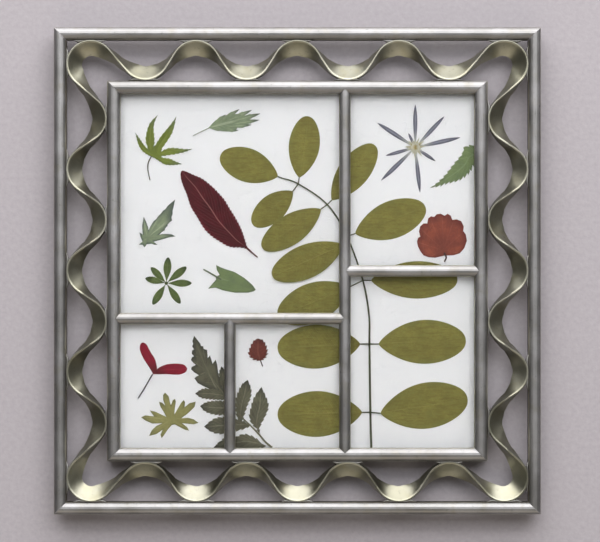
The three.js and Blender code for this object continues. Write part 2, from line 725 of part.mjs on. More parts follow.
function fernLeaf() {
  const saw = { widest: 0.45, roundBase: 0.8, roundTip: 0.85, teeth: 4, toothDepth: 0.45 };
  const tipSaw = { widest: 0.3, roundBase: 0.8, roundTip: 1, teeth: 7, toothDepth: 0.9 };
  const outlines = FERN_LEAFLETS.flatMap(([x, z, angle, length, width]) => [
    placed(blade({ ...saw, length, width }), x, z, angle),
    placed(disc(1.4, 3), x, z, 0),
  ]);
  outlines.push(placed(blade({ ...tipSaw, length: 24, width: 10.5 }), -48, -56, 109));
  outlines.push(strand(FERN_LINE, 1.1, 0.6, 12));
  return leafOf(outlines);
}

addSpecimen("fern_leaf", fernLeaf(), FERN_BROWN);

const coneForm = { widest: 0.42, roundBase: 0.45, roundTip: 0.9, teeth: 8, toothDepth: 1 };
const coneBlade = blade({ ...coneForm, length: 12, width: 10.6 });
const coneStalk = strand([[0.5, 0], [-1.5, -0.3], [-3.4, -1.6]], 0.6, 0.45, 3);
addSpecimen("small_red_leaf", leafOf([coneBlade, coneStalk]), BRICK_RED, -20.8, -48, 94);

export default root;
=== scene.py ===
import math
import random

import bpy
import bmesh
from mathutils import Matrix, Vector, noise


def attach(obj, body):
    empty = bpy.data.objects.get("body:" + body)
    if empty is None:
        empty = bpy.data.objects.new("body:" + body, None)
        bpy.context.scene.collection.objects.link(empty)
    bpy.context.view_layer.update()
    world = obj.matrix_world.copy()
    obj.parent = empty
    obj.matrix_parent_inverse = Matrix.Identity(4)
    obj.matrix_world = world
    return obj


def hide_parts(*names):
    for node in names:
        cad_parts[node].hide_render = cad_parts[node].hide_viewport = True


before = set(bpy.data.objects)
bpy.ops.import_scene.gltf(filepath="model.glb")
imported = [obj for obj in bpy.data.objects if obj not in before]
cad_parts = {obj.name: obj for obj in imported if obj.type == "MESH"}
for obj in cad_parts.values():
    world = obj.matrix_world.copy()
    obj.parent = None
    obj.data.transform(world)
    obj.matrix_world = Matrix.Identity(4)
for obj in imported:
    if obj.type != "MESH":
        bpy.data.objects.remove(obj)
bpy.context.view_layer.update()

MM = 0.001
random.seed(7)

# Sizes in millimetres, as in the solids but for the ribbon's depth and its corner loops.
FRONT_Y = -7.5
BACK_Y = 7.5
SHOULDER_Y = -4.8
PAPER_Y = -0.25
LAYOUT_SCALE = 0.987
OUTER_FACE = 121.5
INNER_FACE = 100.0
JOINT_GAP = 0.1
CREST_PITCH = 256 / 4.8
BEND = 12.45
RIBBON_FRONT_Y = FRONT_Y + 1.5
RIBBON_DEPTH = 5.2
HALF_RIDGE = 0.5
RIBBON_SHEET = 0.8
RIBBON_SPREAD = 7.4
SPREAD_LOST_ON_SLOPES = 0.35
CREST_LINE = OUTER_FACE - JOINT_GAP - HALF_RIDGE
TROUGH_LINE = INNER_FACE + JOINT_GAP + HALF_RIDGE
CORNER = 108.7  # tighter corner loops than in the solids, as in the photograph
CORNER_RADIUS = CREST_LINE - CORNER


# Materials


# Sockets of the Mix node when it mixes colours.
MIX_FACTOR, MIX_COLOUR_A, MIX_COLOUR_B, MIX_COLOUR_OUT = 0, 6, 7, 2


class Nodes:
    """A material's node tree with short calls for the nodes that are used often."""

    def __init__(self, name):
        self.material = bpy.data.materials.new(name)
        self.material.use_nodes = True
        self.tree = self.material.node_tree
        self.shader = self.tree.nodes["Principled BSDF"]

    def add(self, kind, **settings):
        node = self.tree.nodes.new(kind)
        for key, value in settings.items():
            setattr(node, key, value)
        return node

    def link(self, source, target):
        self.tree.links.new(source, target)

    def feed(self, value, socket):
        """Sets a constant on a socket, or links an output to it."""
        if isinstance(value, (int, float)):
            socket.default_value = value
        elif isinstance(value, tuple):
            socket.default_value = (*value, 1)
        else:
            self.link(value, socket)

    def coords(self, scale=(1, 1, 1)):
        place = self.add("ShaderNodeTexCoord")
        mapping = self.add("ShaderNodeMapping")
        mapping.inputs["Scale"].default_value = scale
        self.link(place.outputs["Object"], mapping.inputs["Vector"])
        return mapping.outputs["Vector"]

    def noise(self, vector, scale, detail=3.0, rough=0.5, distortion=0.0):
        node = self.add("ShaderNodeTexNoise")
        node.inputs["Scale"].default_value = scale
        node.inputs["Detail"].default_value = detail
        node.inputs["Roughness"].default_value = rough
        node.inputs["Distortion"].default_value = distortion
        self.link(vector, node.inputs["Vector"])
        return node.outputs["Fac"]

    def ramp(self, value, stops):
        node = self.add("ShaderNodeValToRGB")
        elements = node.color_ramp.elements
        while len(elements) < len(stops):
            elements.new(0.5)
        for element, (position, colour) in zip(elements, stops):
            element.position = position
            element.color = (*colour, 1)
        self.link(value, node.inputs["Fac"])
        return node.outputs["Color"]

    def mix(self, factor, a, b):
        node = self.add("ShaderNodeMix", data_type="RGBA")
        self.feed(factor, node.inputs[MIX_FACTOR])
        self.feed(a, node.inputs[MIX_COLOUR_A])
        self.feed(b, node.inputs[MIX_COLOUR_B])
        return node.outputs[MIX_COLOUR_OUT]

    def math(self, operation, a, b=0.0):
        node = self.add("ShaderNodeMath", operation=operation)
        self.feed(a, node.inputs[0])
        self.feed(b, node.inputs[1])
        return node.outputs[0]

    def span(self, value, low, high, to_low=0.0, to_high=1.0):
        node = self.add("ShaderNodeMapRange")
        for index, number in enumerate((low, high, to_low, to_high), start=1):
            node.inputs[index].default_value = number
        self.link(value, node.inputs[0])
        return node.outputs[0]

    def bump(self, height, strength, distance, under=None):
        node = self.add("ShaderNodeBump")
        node.inputs["Strength"].default_value = strength
        node.inputs["Distance"].default_value = distance
        self.link(height, node.inputs["Height"])
        if under is not None:
            self.link(under, node.inputs["Normal"])
        return node.outputs["Normal"]

    def finish(self, colour, roughness, normal=None, metallic=0.0):
        self.feed(colour, self.shader.inputs["Base Color"])
        self.feed(roughness, self.shader.inputs["Roughness"])
        if normal is not None:
            self.feed(normal, self.shader.inputs["Normal"])
        self.shader.inputs["Metallic"].default_value = metallic
        return self.material


# A bar's half-round crown ends in a painted warm glint, and its straight sides behind the shoulder get painted
# near-black shade.
GLINT_FROM_Y = SHOULDER_Y - 1.1
GLINT_TO_Y = SHOULDER_Y - 0.3
GLINT = (0.6, 0.55, 0.37)
SHADE_FROM_Y = SHOULDER_Y
SHADE_TO_Y = SHOULDER_Y + 0.8
PAINTED_SIDE_SHADE = (0.02, 0.018, 0.015)


def metal(name, dark, light, tint, rough, grain=0.2, swell=0.5, side_shade=0.0):
    """Hand-finished pewter: a satin grain, cloudy tarnish, fine dark specks and a slightly uneven surface.

    The last argument sets how strong the painted shade on the straight sides behind the crown is; when it is
    set, the crown's lower edge also gets a painted warm glint."""
    n = Nodes(name)
    flat = n.coords()
    satin = n.noise(flat, 3200, 2, 0.6)
    cloud = n.noise(flat, 55, 3, 0.55)
    stain = n.noise(flat, 420, 4, 0.7)
    hammer = n.noise(flat, 75, 2, 0.4)
    base = n.mix(n.span(cloud, 0.35, 0.68), dark, light)
    patch = n.noise(flat, 130, 3, 0.6)
    base = n.mix(n.span(patch, 0.52, 0.75, 0.0, 0.6), base, tint)
    base = n.mix(n.span(stain, 0.6, 0.74, 0.0, 0.5), base, tuple(c * 0.4 for c in dark))
    # Painted light: a painted warm glint along the crown's lower edge, and painted shade darkening the straight
    # sides behind the shoulder.
    if side_shade:
        split = n.add("ShaderNodeSeparateXYZ")
        n.link(flat, split.inputs["Vector"])
        depth = split.outputs["Y"]
        base = n.mix(n.span(depth, GLINT_FROM_Y * MM, GLINT_TO_Y * MM, 0.0, 0.65), base, GLINT)
        base = n.mix(n.span(depth, SHADE_FROM_Y * MM, SHADE_TO_Y * MM, 0.0, side_shade), base, PAINTED_SIDE_SHADE)
    blend = n.math("ADD", n.math("MULTIPLY", stain, 0.5), n.math("MULTIPLY", cloud, 0.5))
    roughness = n.span(blend, 0.35, 0.65, rough[0], rough[1])
    normal = n.bump(hammer, swell, 0.0006)
    normal = n.bump(stain, 0.15, 0.0001, normal)
    normal = n.bump(satin, grain, 0.00004, normal)
    return n.finish(base, roughness, normal, 1.0)


BAR = metal("pewter_bar", dark=(0.225, 0.22, 0.216), light=(0.31, 0.305, 0.308), tint=(0.235, 0.22, 0.185),
            rough=(0.4, 0.52), side_shade=0.9)
RIBBON = metal("ribbon_metal", dark=(0.265, 0.258, 0.20), light=(0.345, 0.338, 0.28), tint=(0.275, 0.255, 0.17),
               rough=(0.32, 0.44), swell=0.3)
RIM = metal("rim_metal", dark=(0.13, 0.127, 0.12), light=(0.22, 0.215, 0.205), tint=(0.165, 0.15, 0.125),
            rough=(0.45, 0.6), grain=0.3)
SOLDER = metal("solder", dark=(0.17, 0.165, 0.155), light=(0.25, 0.245, 0.24), tint=(0.2, 0.19, 0.16),
               rough=(0.5, 0.62), grain=0.3, swell=0.9)


def glass():
    """Clear glass, seen through by transmission alone."""
    n = Nodes("clear_glass")
    n.shader.inputs["Transmission Weight"].default_value = 1.0
    n.shader.inputs["IOR"].default_value = 1.45
    return n.finish((1.0, 1.0, 1.0), 0.0)


def paper():
    """Rag paper: a soft mottle, and in patches thin fibres pressed into it."""
    n = Nodes("rag_paper")
    flat = n.coords()
    mottle = n.noise(flat, 300, 4, 0.6)
    fibre = n.add("ShaderNodeTexVoronoi", feature="DISTANCE_TO_EDGE")
    fibre.inputs["Scale"].default_value = 130
    warp = n.add("ShaderNodeTexNoise")
    warp.inputs["Scale"].default_value = 90
    n.link(flat, warp.inputs["Vector"])
    offset = n.add("ShaderNodeVectorMath", operation="MULTIPLY_ADD")
    offset.inputs[1].default_value = (0.018, 0.018, 0.018)
    n.link(warp.outputs["Color"], offset.inputs[0])
    n.link(flat, offset.inputs[2])
    n.link(offset.outputs[0], fibre.inputs["Vector"])
    line = n.span(fibre.outputs["Distance"], 0.0, 0.018, 1.0, 0.0)
    patch = n.span(n.noise(flat, 35, 2, 0.5), 0.5, 0.6)
    line = n.math("MULTIPLY", line, patch)
    colour = n.mix(n.span(mottle, 0.35, 0.7), (0.93, 0.945, 0.97), (0.955, 0.967, 0.985))
    colour = n.mix(n.math("MULTIPLY", line, 0.35), colour, (0.70, 0.72, 0.74))
    grain = n.noise(flat, 1400, 3, 0.7)
    normal = n.bump(grain, 0.25, 0.0001)
    normal = n.bump(line, 0.5, 0.0002, normal)
    return n.finish(colour, 0.92, normal)


def hardboard():
    """Brown pressed board: a felted mesh of fibres with darker flecks."""
    n = Nodes("hardboard")
    flat = n.coords()
    fleck = n.noise(flat, 900, 5, 0.75, 1.2)
    cloud = n.noise(flat, 45, 3, 0.5)
    base = n.ramp(fleck, [(0.3, (0.10, 0.055, 0.028)), (0.52, (0.22, 0.135, 0.07)),
                          (0.75, (0.36, 0.24, 0.14))])
    base = n.mix(n.span(cloud, 0.4, 0.7, 0.0, 0.4), base, (0.16, 0.09, 0.05))
    weave = n.add("ShaderNodeTexWave", wave_type="BANDS", bands_direction="DIAGONAL")
    weave.inputs["Scale"].default_value = 420
    n.link(flat, weave.inputs["Vector"])
    normal = n.bump(fleck, 0.5, 0.0003)
    normal = n.bump(weave.outputs["Fac"], 0.15, 0.0002, normal)
    return n.finish(base, 0.8, normal)


def leaf(name, base, dark, edge, vein, veins, slant, vein_strength, midrib=0.045, blotch=0.5,
         rib_strength=0.85, streaks=0.7, level=False, tip=None, tip_from=0.7, foot=None, stem=None):
    """A dried leaf. Its map has the distance along the blade in u and the place across it in v.

    A stalk's u is below zero. Level streaks lie straight across the picture; tip, foot and stem are the
    colours at the far end of the blade, at its near end and on the stalk."""
    n = Nodes(name)
    uv = n.add("ShaderNodeUVMap", uv_map="blade")
    split = n.add("ShaderNodeSeparateXYZ")
    n.link(uv.outputs["UV"], split.inputs["Vector"])
    along, across = split.outputs["X"], split.outputs["Y"]
    flat = n.coords()
    side = n.math("ABSOLUTE", n.math("SUBTRACT", n.math("MULTIPLY", across, 2.0), 1.0))
    wobble = n.math("MULTIPLY", n.math("SUBTRACT", n.noise(flat, 160, 2), 0.5), 0.35)
    beat = n.math("MULTIPLY", along, float(veins))
    phase = n.math("SUBTRACT", beat, n.math("MULTIPLY", side, slant * veins / 10))
    phase = n.math("ADD", phase, n.math("ADD", wobble, 20.0))
    ridge = n.math("MULTIPLY", n.math("FRACT", phase), 2.0)
    ridge = n.math("ABSOLUTE", n.math("SUBTRACT", ridge, 1.0))
    side_vein = n.math("MULTIPLY", n.span(ridge, 0.84, 0.98), n.span(side, 0.85, 1.0, 1.0, 0.2))
    if level:
        streak = n.noise(n.coords((1, 1, 5)), 150, 4, 0.7)
    else:
        lane = n.add("ShaderNodeCombineXYZ")
        n.link(phase, lane.inputs["X"])
        n.link(n.math("MULTIPLY", across, 1.4), lane.inputs["Y"])
        streak = n.noise(lane.outputs["Vector"], 2.2, 4, 0.7)
    rib = n.span(side, midrib, midrib * 2.2, 1.0, 0.0)
    cloud = n.noise(flat, 110, 4, 0.6)
    fine = n.noise(flat, 900, 3, 0.65)
    colour = n.mix(n.span(cloud, 0.36, 0.66, 0.0, blotch), base, dark)
    colour = n.mix(n.span(streak, 0.44, 0.66, 0.0, streaks), colour, dark)
    colour = n.mix(n.span(streak, 0.5, 0.34, 0.0, streaks * 0.7), colour, edge)
    colour = n.mix(n.math("MULTIPLY", n.span(side, 0.72, 1.0), n.span(cloud, 0.35, 0.6)), colour, edge)
    colour = n.mix(n.span(fine, 0.42, 0.68, 0.0, 0.28), colour, dark)
    colour = n.mix(n.math("MULTIPLY", side_vein, vein_strength), colour, vein)
    colour = n.mix(n.math("MULTIPLY", rib, rib_strength), colour, vein)
    if foot:
        colour = n.mix(n.span(along, 0.12, 0.42, 0.85, 0.0), colour, foot)
    if tip:
        colour = n.mix(n.span(along, tip_from, 1.0, 0.0, 0.9), colour, tip)
    colour = n.mix(n.math("LESS_THAN", along, -0.01), colour, stem or dark)
    relief = n.math("ADD", rib, n.math("MULTIPLY", streak, 0.5))
    relief = n.math("ADD", n.math("MULTIPLY", side_vein, 0.6), relief)
    n.shader.inputs["Specular IOR Level"].default_value = 0.2
    normal = n.bump(relief, 0.5, 0.00025)
    normal = n.bump(fine, 0.3, 0.00015, normal)
    return n.finish(colour, 0.62, normal)


OLIVE = leaf(
    "leaf_olive", (0.275, 0.258, 0.058), (0.16, 0.132, 0.032), (0.19, 0.195, 0.055), (0.28, 0.265, 0.08),
    veins=20, slant=1.6, vein_strength=0.05, midrib=0.022, blotch=0.6, rib_strength=0.12, streaks=0.75,
    level=True)
STALK = leaf(
    "leaf_stalk", (0.085, 0.095, 0.045), (0.05, 0.05, 0.028), (0.09, 0.08, 0.04), (0.14, 0.14, 0.07),
    veins=8, slant=0.5, vein_strength=0.1, stem=(0.075, 0.085, 0.045))
YELLOW_GREEN = leaf(
    "leaf_yellow_green", (0.22, 0.275, 0.036), (0.12, 0.155, 0.03), (0.20, 0.25, 0.06), (0.31, 0.34, 0.09),
    veins=9, slant=2.2, vein_strength=0.25, midrib=0.06, blotch=0.6, rib_strength=0.5,
    tip=(0.12, 0.16, 0.09), tip_from=0.55, stem=(0.075, 0.07, 0.045))
GREY_GREEN = leaf(
    "leaf_grey_green", (0.33, 0.41, 0.245), (0.155, 0.205, 0.125), (0.20, 0.235, 0.17), (0.46, 0.52, 0.36),
    veins=8, slant=1.8, vein_strength=0.3, midrib=0.09, blotch=0.5, rib_strength=0.6,
    tip=(0.07, 0.09, 0.09), tip_from=0.62, stem=(0.22, 0.25, 0.17))
FRESH_GREEN = leaf(
    "leaf_fresh_green", (0.235, 0.31, 0.125), (0.15, 0.205, 0.10), (0.17, 0.22, 0.12), (0.30, 0.39, 0.20),
    veins=9, slant=2.0, vein_strength=0.25, midrib=0.045, blotch=0.8, rib_strength=0.4,
    tip=(0.12, 0.16, 0.09), tip_from=0.85, stem=(0.13, 0.16, 0.10))
DARK_GREEN = leaf(
    "leaf_dark_green", (0.13, 0.18, 0.05), (0.062, 0.095, 0.026), (0.15, 0.18, 0.06), (0.18, 0.23, 0.09),
    veins=8, slant=1.6, vein_strength=0.2, midrib=0.07, blotch=0.5, rib_strength=0.45,
    tip=(0.05, 0.075, 0.03))
DARK_RED = leaf(
    "leaf_dark_red", (0.1, 0.007, 0.012), (0.052, 0.005, 0.008), (0.14, 0.012, 0.02), (0.36, 0.15, 0.14),
    veins=17, slant=3.2, vein_strength=0.2, midrib=0.02, blotch=0.7, rib_strength=0.75,
    stem=(0.12, 0.04, 0.04))
BRICK_RED = leaf(
    "leaf_brick_red", (0.37, 0.10, 0.052), (0.19, 0.048, 0.035), (0.22, 0.055, 0.04), (0.42, 0.16, 0.11),
    veins=9, slant=0.6, vein_strength=0.1, midrib=0.04, blotch=0.9, rib_strength=0.25,
    tip=(0.16, 0.033, 0.028), tip_from=0.8, stem=(0.07, 0.04, 0.035))
DEEP_BRICK = leaf(
    "leaf_deep_brick", (0.19, 0.045, 0.03), (0.09, 0.025, 0.02), (0.08, 0.022, 0.02), (0.25, 0.08, 0.06),
    veins=9, slant=1.6, vein_strength=0.35, midrib=0.05, blotch=0.7, rib_strength=0.5,
    tip=(0.07, 0.02, 0.02), stem=(0.06, 0.035, 0.03))
CRIMSON = leaf(
    "seed_crimson", (0.36, 0.012, 0.035), (0.20, 0.010, 0.025), (0.20, 0.012, 0.025), (0.45, 0.05, 0.08),
    veins=16, slant=5.0, vein_strength=0.3, midrib=0.03, blotch=0.6, rib_strength=0.3,
    foot=(0.13, 0.02, 0.022), stem=(0.04, 0.035, 0.045))
YELLOW_OLIVE = leaf(
    "leaf_yellow_olive", (0.39, 0.375, 0.15), (0.23, 0.215, 0.075), (0.30, 0.29, 0.11), (0.48, 0.46, 0.24),
    veins=6, slant=1.4, vein_strength=0.15, midrib=0.05, blotch=0.6, rib_strength=0.35,
    tip=(0.17, 0.17, 0.07), tip_from=0.72)
FERN = leaf(
    "fern_brown", (0.17, 0.165, 0.105), (0.075, 0.072, 0.05), (0.14, 0.135, 0.09), (0.27, 0.26, 0.18),
    veins=9, slant=2.6, vein_strength=0.45, midrib=0.04, blotch=0.8, rib_strength=0.6,
    tip=(0.05, 0.052, 0.042), stem=(0.16, 0.155, 0.10))
SLATE = leaf(
    "bract_slate", (0.185, 0.19, 0.235), (0.10, 0.10, 0.15), (0.13, 0.13, 0.18), (0.34, 0.35, 0.40),
    veins=5, slant=1.0, vein_strength=0.1, midrib=0.2, blotch=0.5, rib_strength=0.5,
    tip=(0.08, 0.08, 0.12), foot=(0.52, 0.55, 0.50))
STRAW = leaf(
    "flower_straw", (0.42, 0.36, 0.13), (0.26, 0.2, 0.08), (0.62, 0.62, 0.48), (0.60, 0.54, 0.34),
    veins=4, slant=1.0, vein_strength=0.2, midrib=0.2,
    tip=(0.66, 0.68, 0.60), tip_from=0.4, foot=(0.30, 0.22, 0.06))


# Mesh helpers


def add_piece(name, vertices, faces, material, replaced=(), uvs=None):
    """A smooth-shaded piece in millimetres, riding on the frame and standing for CAD nodes."""
    mesh = bpy.data.meshes.new(name)
    mesh.from_pydata([Vector(v) * MM for v in vertices], [], faces)
    if uvs is not None:
        layer = mesh.uv_layers.new(name="blade")
        for loop in mesh.loops:
            layer.data[loop.index].uv = uvs[loop.vertex_index]
    mesh.materials.append(material)
    mesh.update()
    mesh.shade_smooth()
    piece = bpy.data.objects.new(name, mesh)
    bpy.context.collection.objects.link(piece)
    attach(piece, "root")
    if replaced:
        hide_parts(*replaced)
    return piece


def outward(piece):
    """Turns the faces outwards on a closed mesh."""
    bm = bmesh.new()
    bm.from_mesh(piece.data)
    bmesh.ops.recalc_face_normals(bm, faces=bm.faces)
    bm.to_mesh(piece.data)
    bm.free()


def sharpen(piece, degrees):
    piece.data.set_sharp_from_angle(angle=math.radians(degrees))


def rings_mesh(rings, closed):
    """Vertices and faces of a skin over rings of equal length, capped at both ends if it isn't closed."""
    size = len(rings[0])
    vertices = [v for ring in rings for v in ring]
    faces = []
    count = len(rings)
    for i in range(count if closed else count - 1):
        a, b = i * size, ((i + 1) % count) * size
        for k in range(size):
            nxt = (k + 1) % size
            faces.append((a + k, a + nxt, b + nxt, b + k))
    if not closed:
        faces.append(tuple(range(size)))
        faces.append(tuple(reversed(range((count - 1) * size, count * size))))
    return vertices, faces


# The ribbon and its solder


def top_circles():
    """Circles that the top side's ribbon winds round: (x, z, radius, spin). Spin is -1 at a crest."""
    circles = []
    for i in range(-3, 4):
        spin = -1 if i % 2 == 0 else 1
        z = CREST_LINE - BEND if spin < 0 else TROUGH_LINE + BEND
        circles.append((i * CREST_PITCH / 2, z, BEND, spin))
    circles.append((CORNER, CORNER, CORNER_RADIUS, -1))
    return circles


def turned(x, z, quarter):
    """A point turned clockwise by quarters of a turn, as seen from the front."""
    for _ in range(quarter % 4):
        x, z = z, -x
    return x, z


def ribbon_circles():
    """The circles of all four sides, clockwise from the top."""
    loop = []
    for quarter in range(4):
        for x, z, radius, spin in top_circles():
            loop.append((*turned(x, z, quarter), radius, spin))
    return loop


def join_between(from_circle, to_circle):
    """The heading and the length of the straight stretch between two circles."""
    x0, z0, r0, s0 = from_circle
    x1, z1, r1, s1 = to_circle
    spread = s0 * r0 - s1 * r1
    straight = math.sqrt((x1 - x0) ** 2 + (z1 - z0) ** 2 - spread ** 2)
    return math.atan2(z1 - z0, x1 - x0) + math.atan2(spread, straight), straight


STEP_IN_BENDS = math.radians(5.0)
STRAIGHT_STEPS = 6


def ribbon_stations():
    """Stations (x, z, normal x, normal z, lean) along the closed fold line, clockwise from the top side.

    Lean is 1 over a crest, where the right face is spread wide, -1 under a trough, and 0 halfway between."""
    circles = ribbon_circles()
    joins = [join_between(a, b) for a, b in zip(circles, circles[1:] + circles[:1])]
    crest_to_middle = BEND * abs(joins[1][0]) + joins[1][1] / 2
    stations = []
    for i, (x, z, radius, spin) in enumerate(circles):
        (start, before), (end, after) = joins[i - 1], joins[i]
        sweep = spin * ((spin * (end - start)) % (2 * math.pi))
        steps = math.ceil(abs(sweep) / STEP_IN_BENDS)

        def lean_at(done):
            left = radius * abs(sweep) - done
            to_middle = min(done + before / 2, left + after / 2, crest_to_middle)
            rise = math.sin(math.pi * to_middle / crest_to_middle / 2)
            return -spin * math.sin(math.pi * rise / 2)

        for k in range(steps + 1):
            heading = start + sweep * k / steps
            nx, nz = -math.sin(heading), math.cos(heading)
            lean = lean_at(radius * abs(sweep) * k / steps)
            stations.append((x - spin * radius * nx, z - spin * radius * nz, nx, nz, lean))
        px, pz, nx, nz, last_lean = stations[-1]
        next_lean = -last_lean
        for k in range(1, STRAIGHT_STEPS):
            share = k / STRAIGHT_STEPS
            ahead = after * share
            lean = last_lean + (next_lean - last_lean) * share
            stations.append((px + nz * ahead, pz - nx * ahead, nx, nz, lean))
    return stations


RIDGE_DROP = 0.12
HOLLOW_DEPTH = 0.35
EDGE_BULGE = 0.2
EDGE_SHOULDER = 0.18
DOWN_A_FACE = (0.06, 0.18, 0.34, 0.52, 0.7, 0.85, 0.97, 1.0)


def folded_section(lean):
    """Points (offset to the left, y) round the folded strip, from the left face's back edge over the ridge."""
    front, back = RIBBON_FRONT_Y, RIBBON_FRONT_Y + RIBBON_DEPTH
    narrowing = 1 - SPREAD_LOST_ON_SLOPES * (1 - abs(lean))
    swing = narrowing * (RIBBON_SPREAD - HALF_RIDGE) / 2
    right = -(HALF_RIDGE + swing * (1 + lean))
    left = HALF_RIDGE + swing * (1 - lean)
    outer = []
    for t in reversed(DOWN_A_FACE):
        hollow = HOLLOW_DEPTH * math.sin(math.pi * t)
        offset = HALF_RIDGE + (left - HALF_RIDGE) * t - hollow * (1 - lean) / 2
        outer.append((offset, front + RIDGE_DROP + RIBBON_DEPTH * t))
    outer += [(0.38, front + 0.03), (0.0, front), (-0.38, front + 0.03)]
    for t in DOWN_A_FACE:
        hollow = HOLLOW_DEPTH * math.sin(math.pi * t)
        offset = right * t - HALF_RIDGE * (1 - t) + hollow * (1 + lean) / 2
        outer.append((offset, front + RIDGE_DROP + RIBBON_DEPTH * t))
    lip_right = RIBBON_SHEET * (1 + 0.3 * (1 + lean))
    lip_left = RIBBON_SHEET * (1 + 0.3 * (1 - lean))
    inner = [
        (right + 0.2 * lip_right, back + EDGE_BULGE),
        (right + 0.8 * lip_right, back + EDGE_SHOULDER),
        (right + lip_right, back),
        (-0.3 * lean, front + 1.5 * RIBBON_SHEET),
        (left - lip_left, back),
        (left - 0.8 * lip_left, back + EDGE_SHOULDER),
        (left - 0.2 * lip_left, back + EDGE_BULGE),
    ]
    return outer + inner


def build_ribbon():
    """The whole ribbon as one closed loop, slightly wavy towards its back edges."""
    rings = []
    for x, z, nx, nz, lean in ribbon_stations():
        ring = []
        for offset, y in folded_section(lean):
            depth = (y - RIBBON_FRONT_Y) / RIBBON_DEPTH
            wave = 0.16 * depth * noise.noise(Vector((x * 0.07, y * 0.1, z * 0.07)))
            ring.append((x + nx * (offset + wave), y, z + nz * (offset + wave)))
        rings.append(ring)
    vertices, faces = rings_mesh(rings, True)
    piece = add_piece("wave_ribbon", vertices, faces, RIBBON,
                      [f"ribbon_{s}" for s in ("top", "left", "bottom", "right")])
    outward(piece)
    sharpen(piece, 50)


SOLDER_REACH = {-1: 9.6, 1: 8.2}  # half its length at a crest and at a trough
SOLDER_HALF_RINGS = 8
SOLDER_SIDES = 10
SOLDER_SKIN = 0.08


def build_solder():
    """A lumpy solder fillet at each place where the ribbon meets a bar."""
    vertices, faces = [], []
    for quarter in range(4):
        for x, z, radius, spin in [(-CORNER, CORNER, CORNER_RADIUS, -1)] + top_circles():
            bar_side = -spin
            face = OUTER_FACE if spin < 0 else INNER_FACE
            reach = SOLDER_REACH[spin] + random.uniform(-1.2, 1.0)
            skew = random.uniform(-0.6, 0.6)
            ridge_radius = radius + HALF_RIDGE
            rings = []
            for i in range(2 * SOLDER_HALF_RINGS + 1):
                share = -1 + i / SOLDER_HALF_RINGS
                along = reach * share
                gap = JOINT_GAP + radius + HALF_RIDGE - math.sqrt(ridge_radius ** 2 - along ** 2)
                body = max(1 - abs(share) ** 2.4, 0)
                taper = min(1, 2.6 * (1 - abs(share)))
                tall = SOLDER_SKIN + (0.5 * min(gap, 1.5) + SOLDER_SKIN) * taper
                deep = 0.15 + 0.9 * body ** 0.5
                ring = []
                for k in range(SOLDER_SIDES):
                    angle = 2 * math.pi * k / SOLDER_SIDES
                    lump = 1 + 0.3 * noise.noise(Vector(((x + along) * 0.9, angle, z)))
                    rise = tall - tall * lump * math.sin(angle)
                    px, pz = turned(x + along + skew, face - bar_side * rise, quarter)
                    ring.append((px, RIBBON_FRONT_Y + 1.1 - deep * lump * math.cos(angle), pz))
                rings.append(ring)
            joint_vertices, joint_faces = rings_mesh(rings, False)
            start = len(vertices)
            vertices += joint_vertices
            faces += [tuple(start + index for index in corners) for corners in joint_faces]
    piece = add_piece("solder_joints", vertices, faces, SOLDER)
    outward(piece)


# Leaves

BLADE_THICKNESS = 0.12
FLAT_THICKNESS = 0.15
STALK_THICKNESS = 0.35
CROWN = 0.12
LAYER_HEIGHT = 0.35
LIFT = 0.012  # between the blades of one piece, so that no two faces lie in one plane
THINNEST = 0.05
BLADE_ROWS = 40
EDGE_ROWS = 42
ROWS_PER_TOOTH = 6
FAN_ROWS = 14


def profile(t, widest, round_base, round_tip):
    """Half the width of a blade at t along it, as a share of its greatest."""
    bend = math.log(0.5) / math.log(widest)
    power = round_base + (round_tip - round_base) * t
    return max(0.0, math.sin(math.pi * t ** bend)) ** power


def sawtooth(t, teeth):
    """From 0 at the start of each tooth slowly up to 1, and quickly back."""
    beat = (t * teeth) % 1.0
    return beat ** 0.8 if beat < 0.85 else (1 - beat) / 0.15


def smooth_line(points, steps=10):
    """Points along a Catmull-Rom curve."""
    path = [Vector(p) for p in points]
    path = [2 * path[0] - path[1], *path, 2 * path[-1] - path[-2]]
    line = []
    for i in range(1, len(path) - 2):
        a, b, c, d = path[i - 1:i + 3]
        for k in range(steps):
            t = k / steps
            line.append(0.5 * (2 * b + (c - a) * t + (2 * a - 5 * b + 4 * c - d) * t * t
                               + (3 * b - a - 3 * c + d) * t ** 3))
    line.append(path[-2])
    return line


def spaced(line, count):
    """The line again as count + 1 evenly spaced points."""
    total = sum((b - a).length for a, b in zip(line, line[1:]))
    points, at, walked = [], 0, 0.0
    for i in range(count + 1):
        goal = total * i / count
        while at < len(line) - 2 and walked + (line[at + 1] - line[at]).length < goal:
            walked += (line[at + 1] - line[at]).length
            at += 1
        piece = line[at + 1] - line[at]
        points.append(line[at] + piece * min(1.0, (goal - walked) / max(piece.length, 1e-6)))
    return points


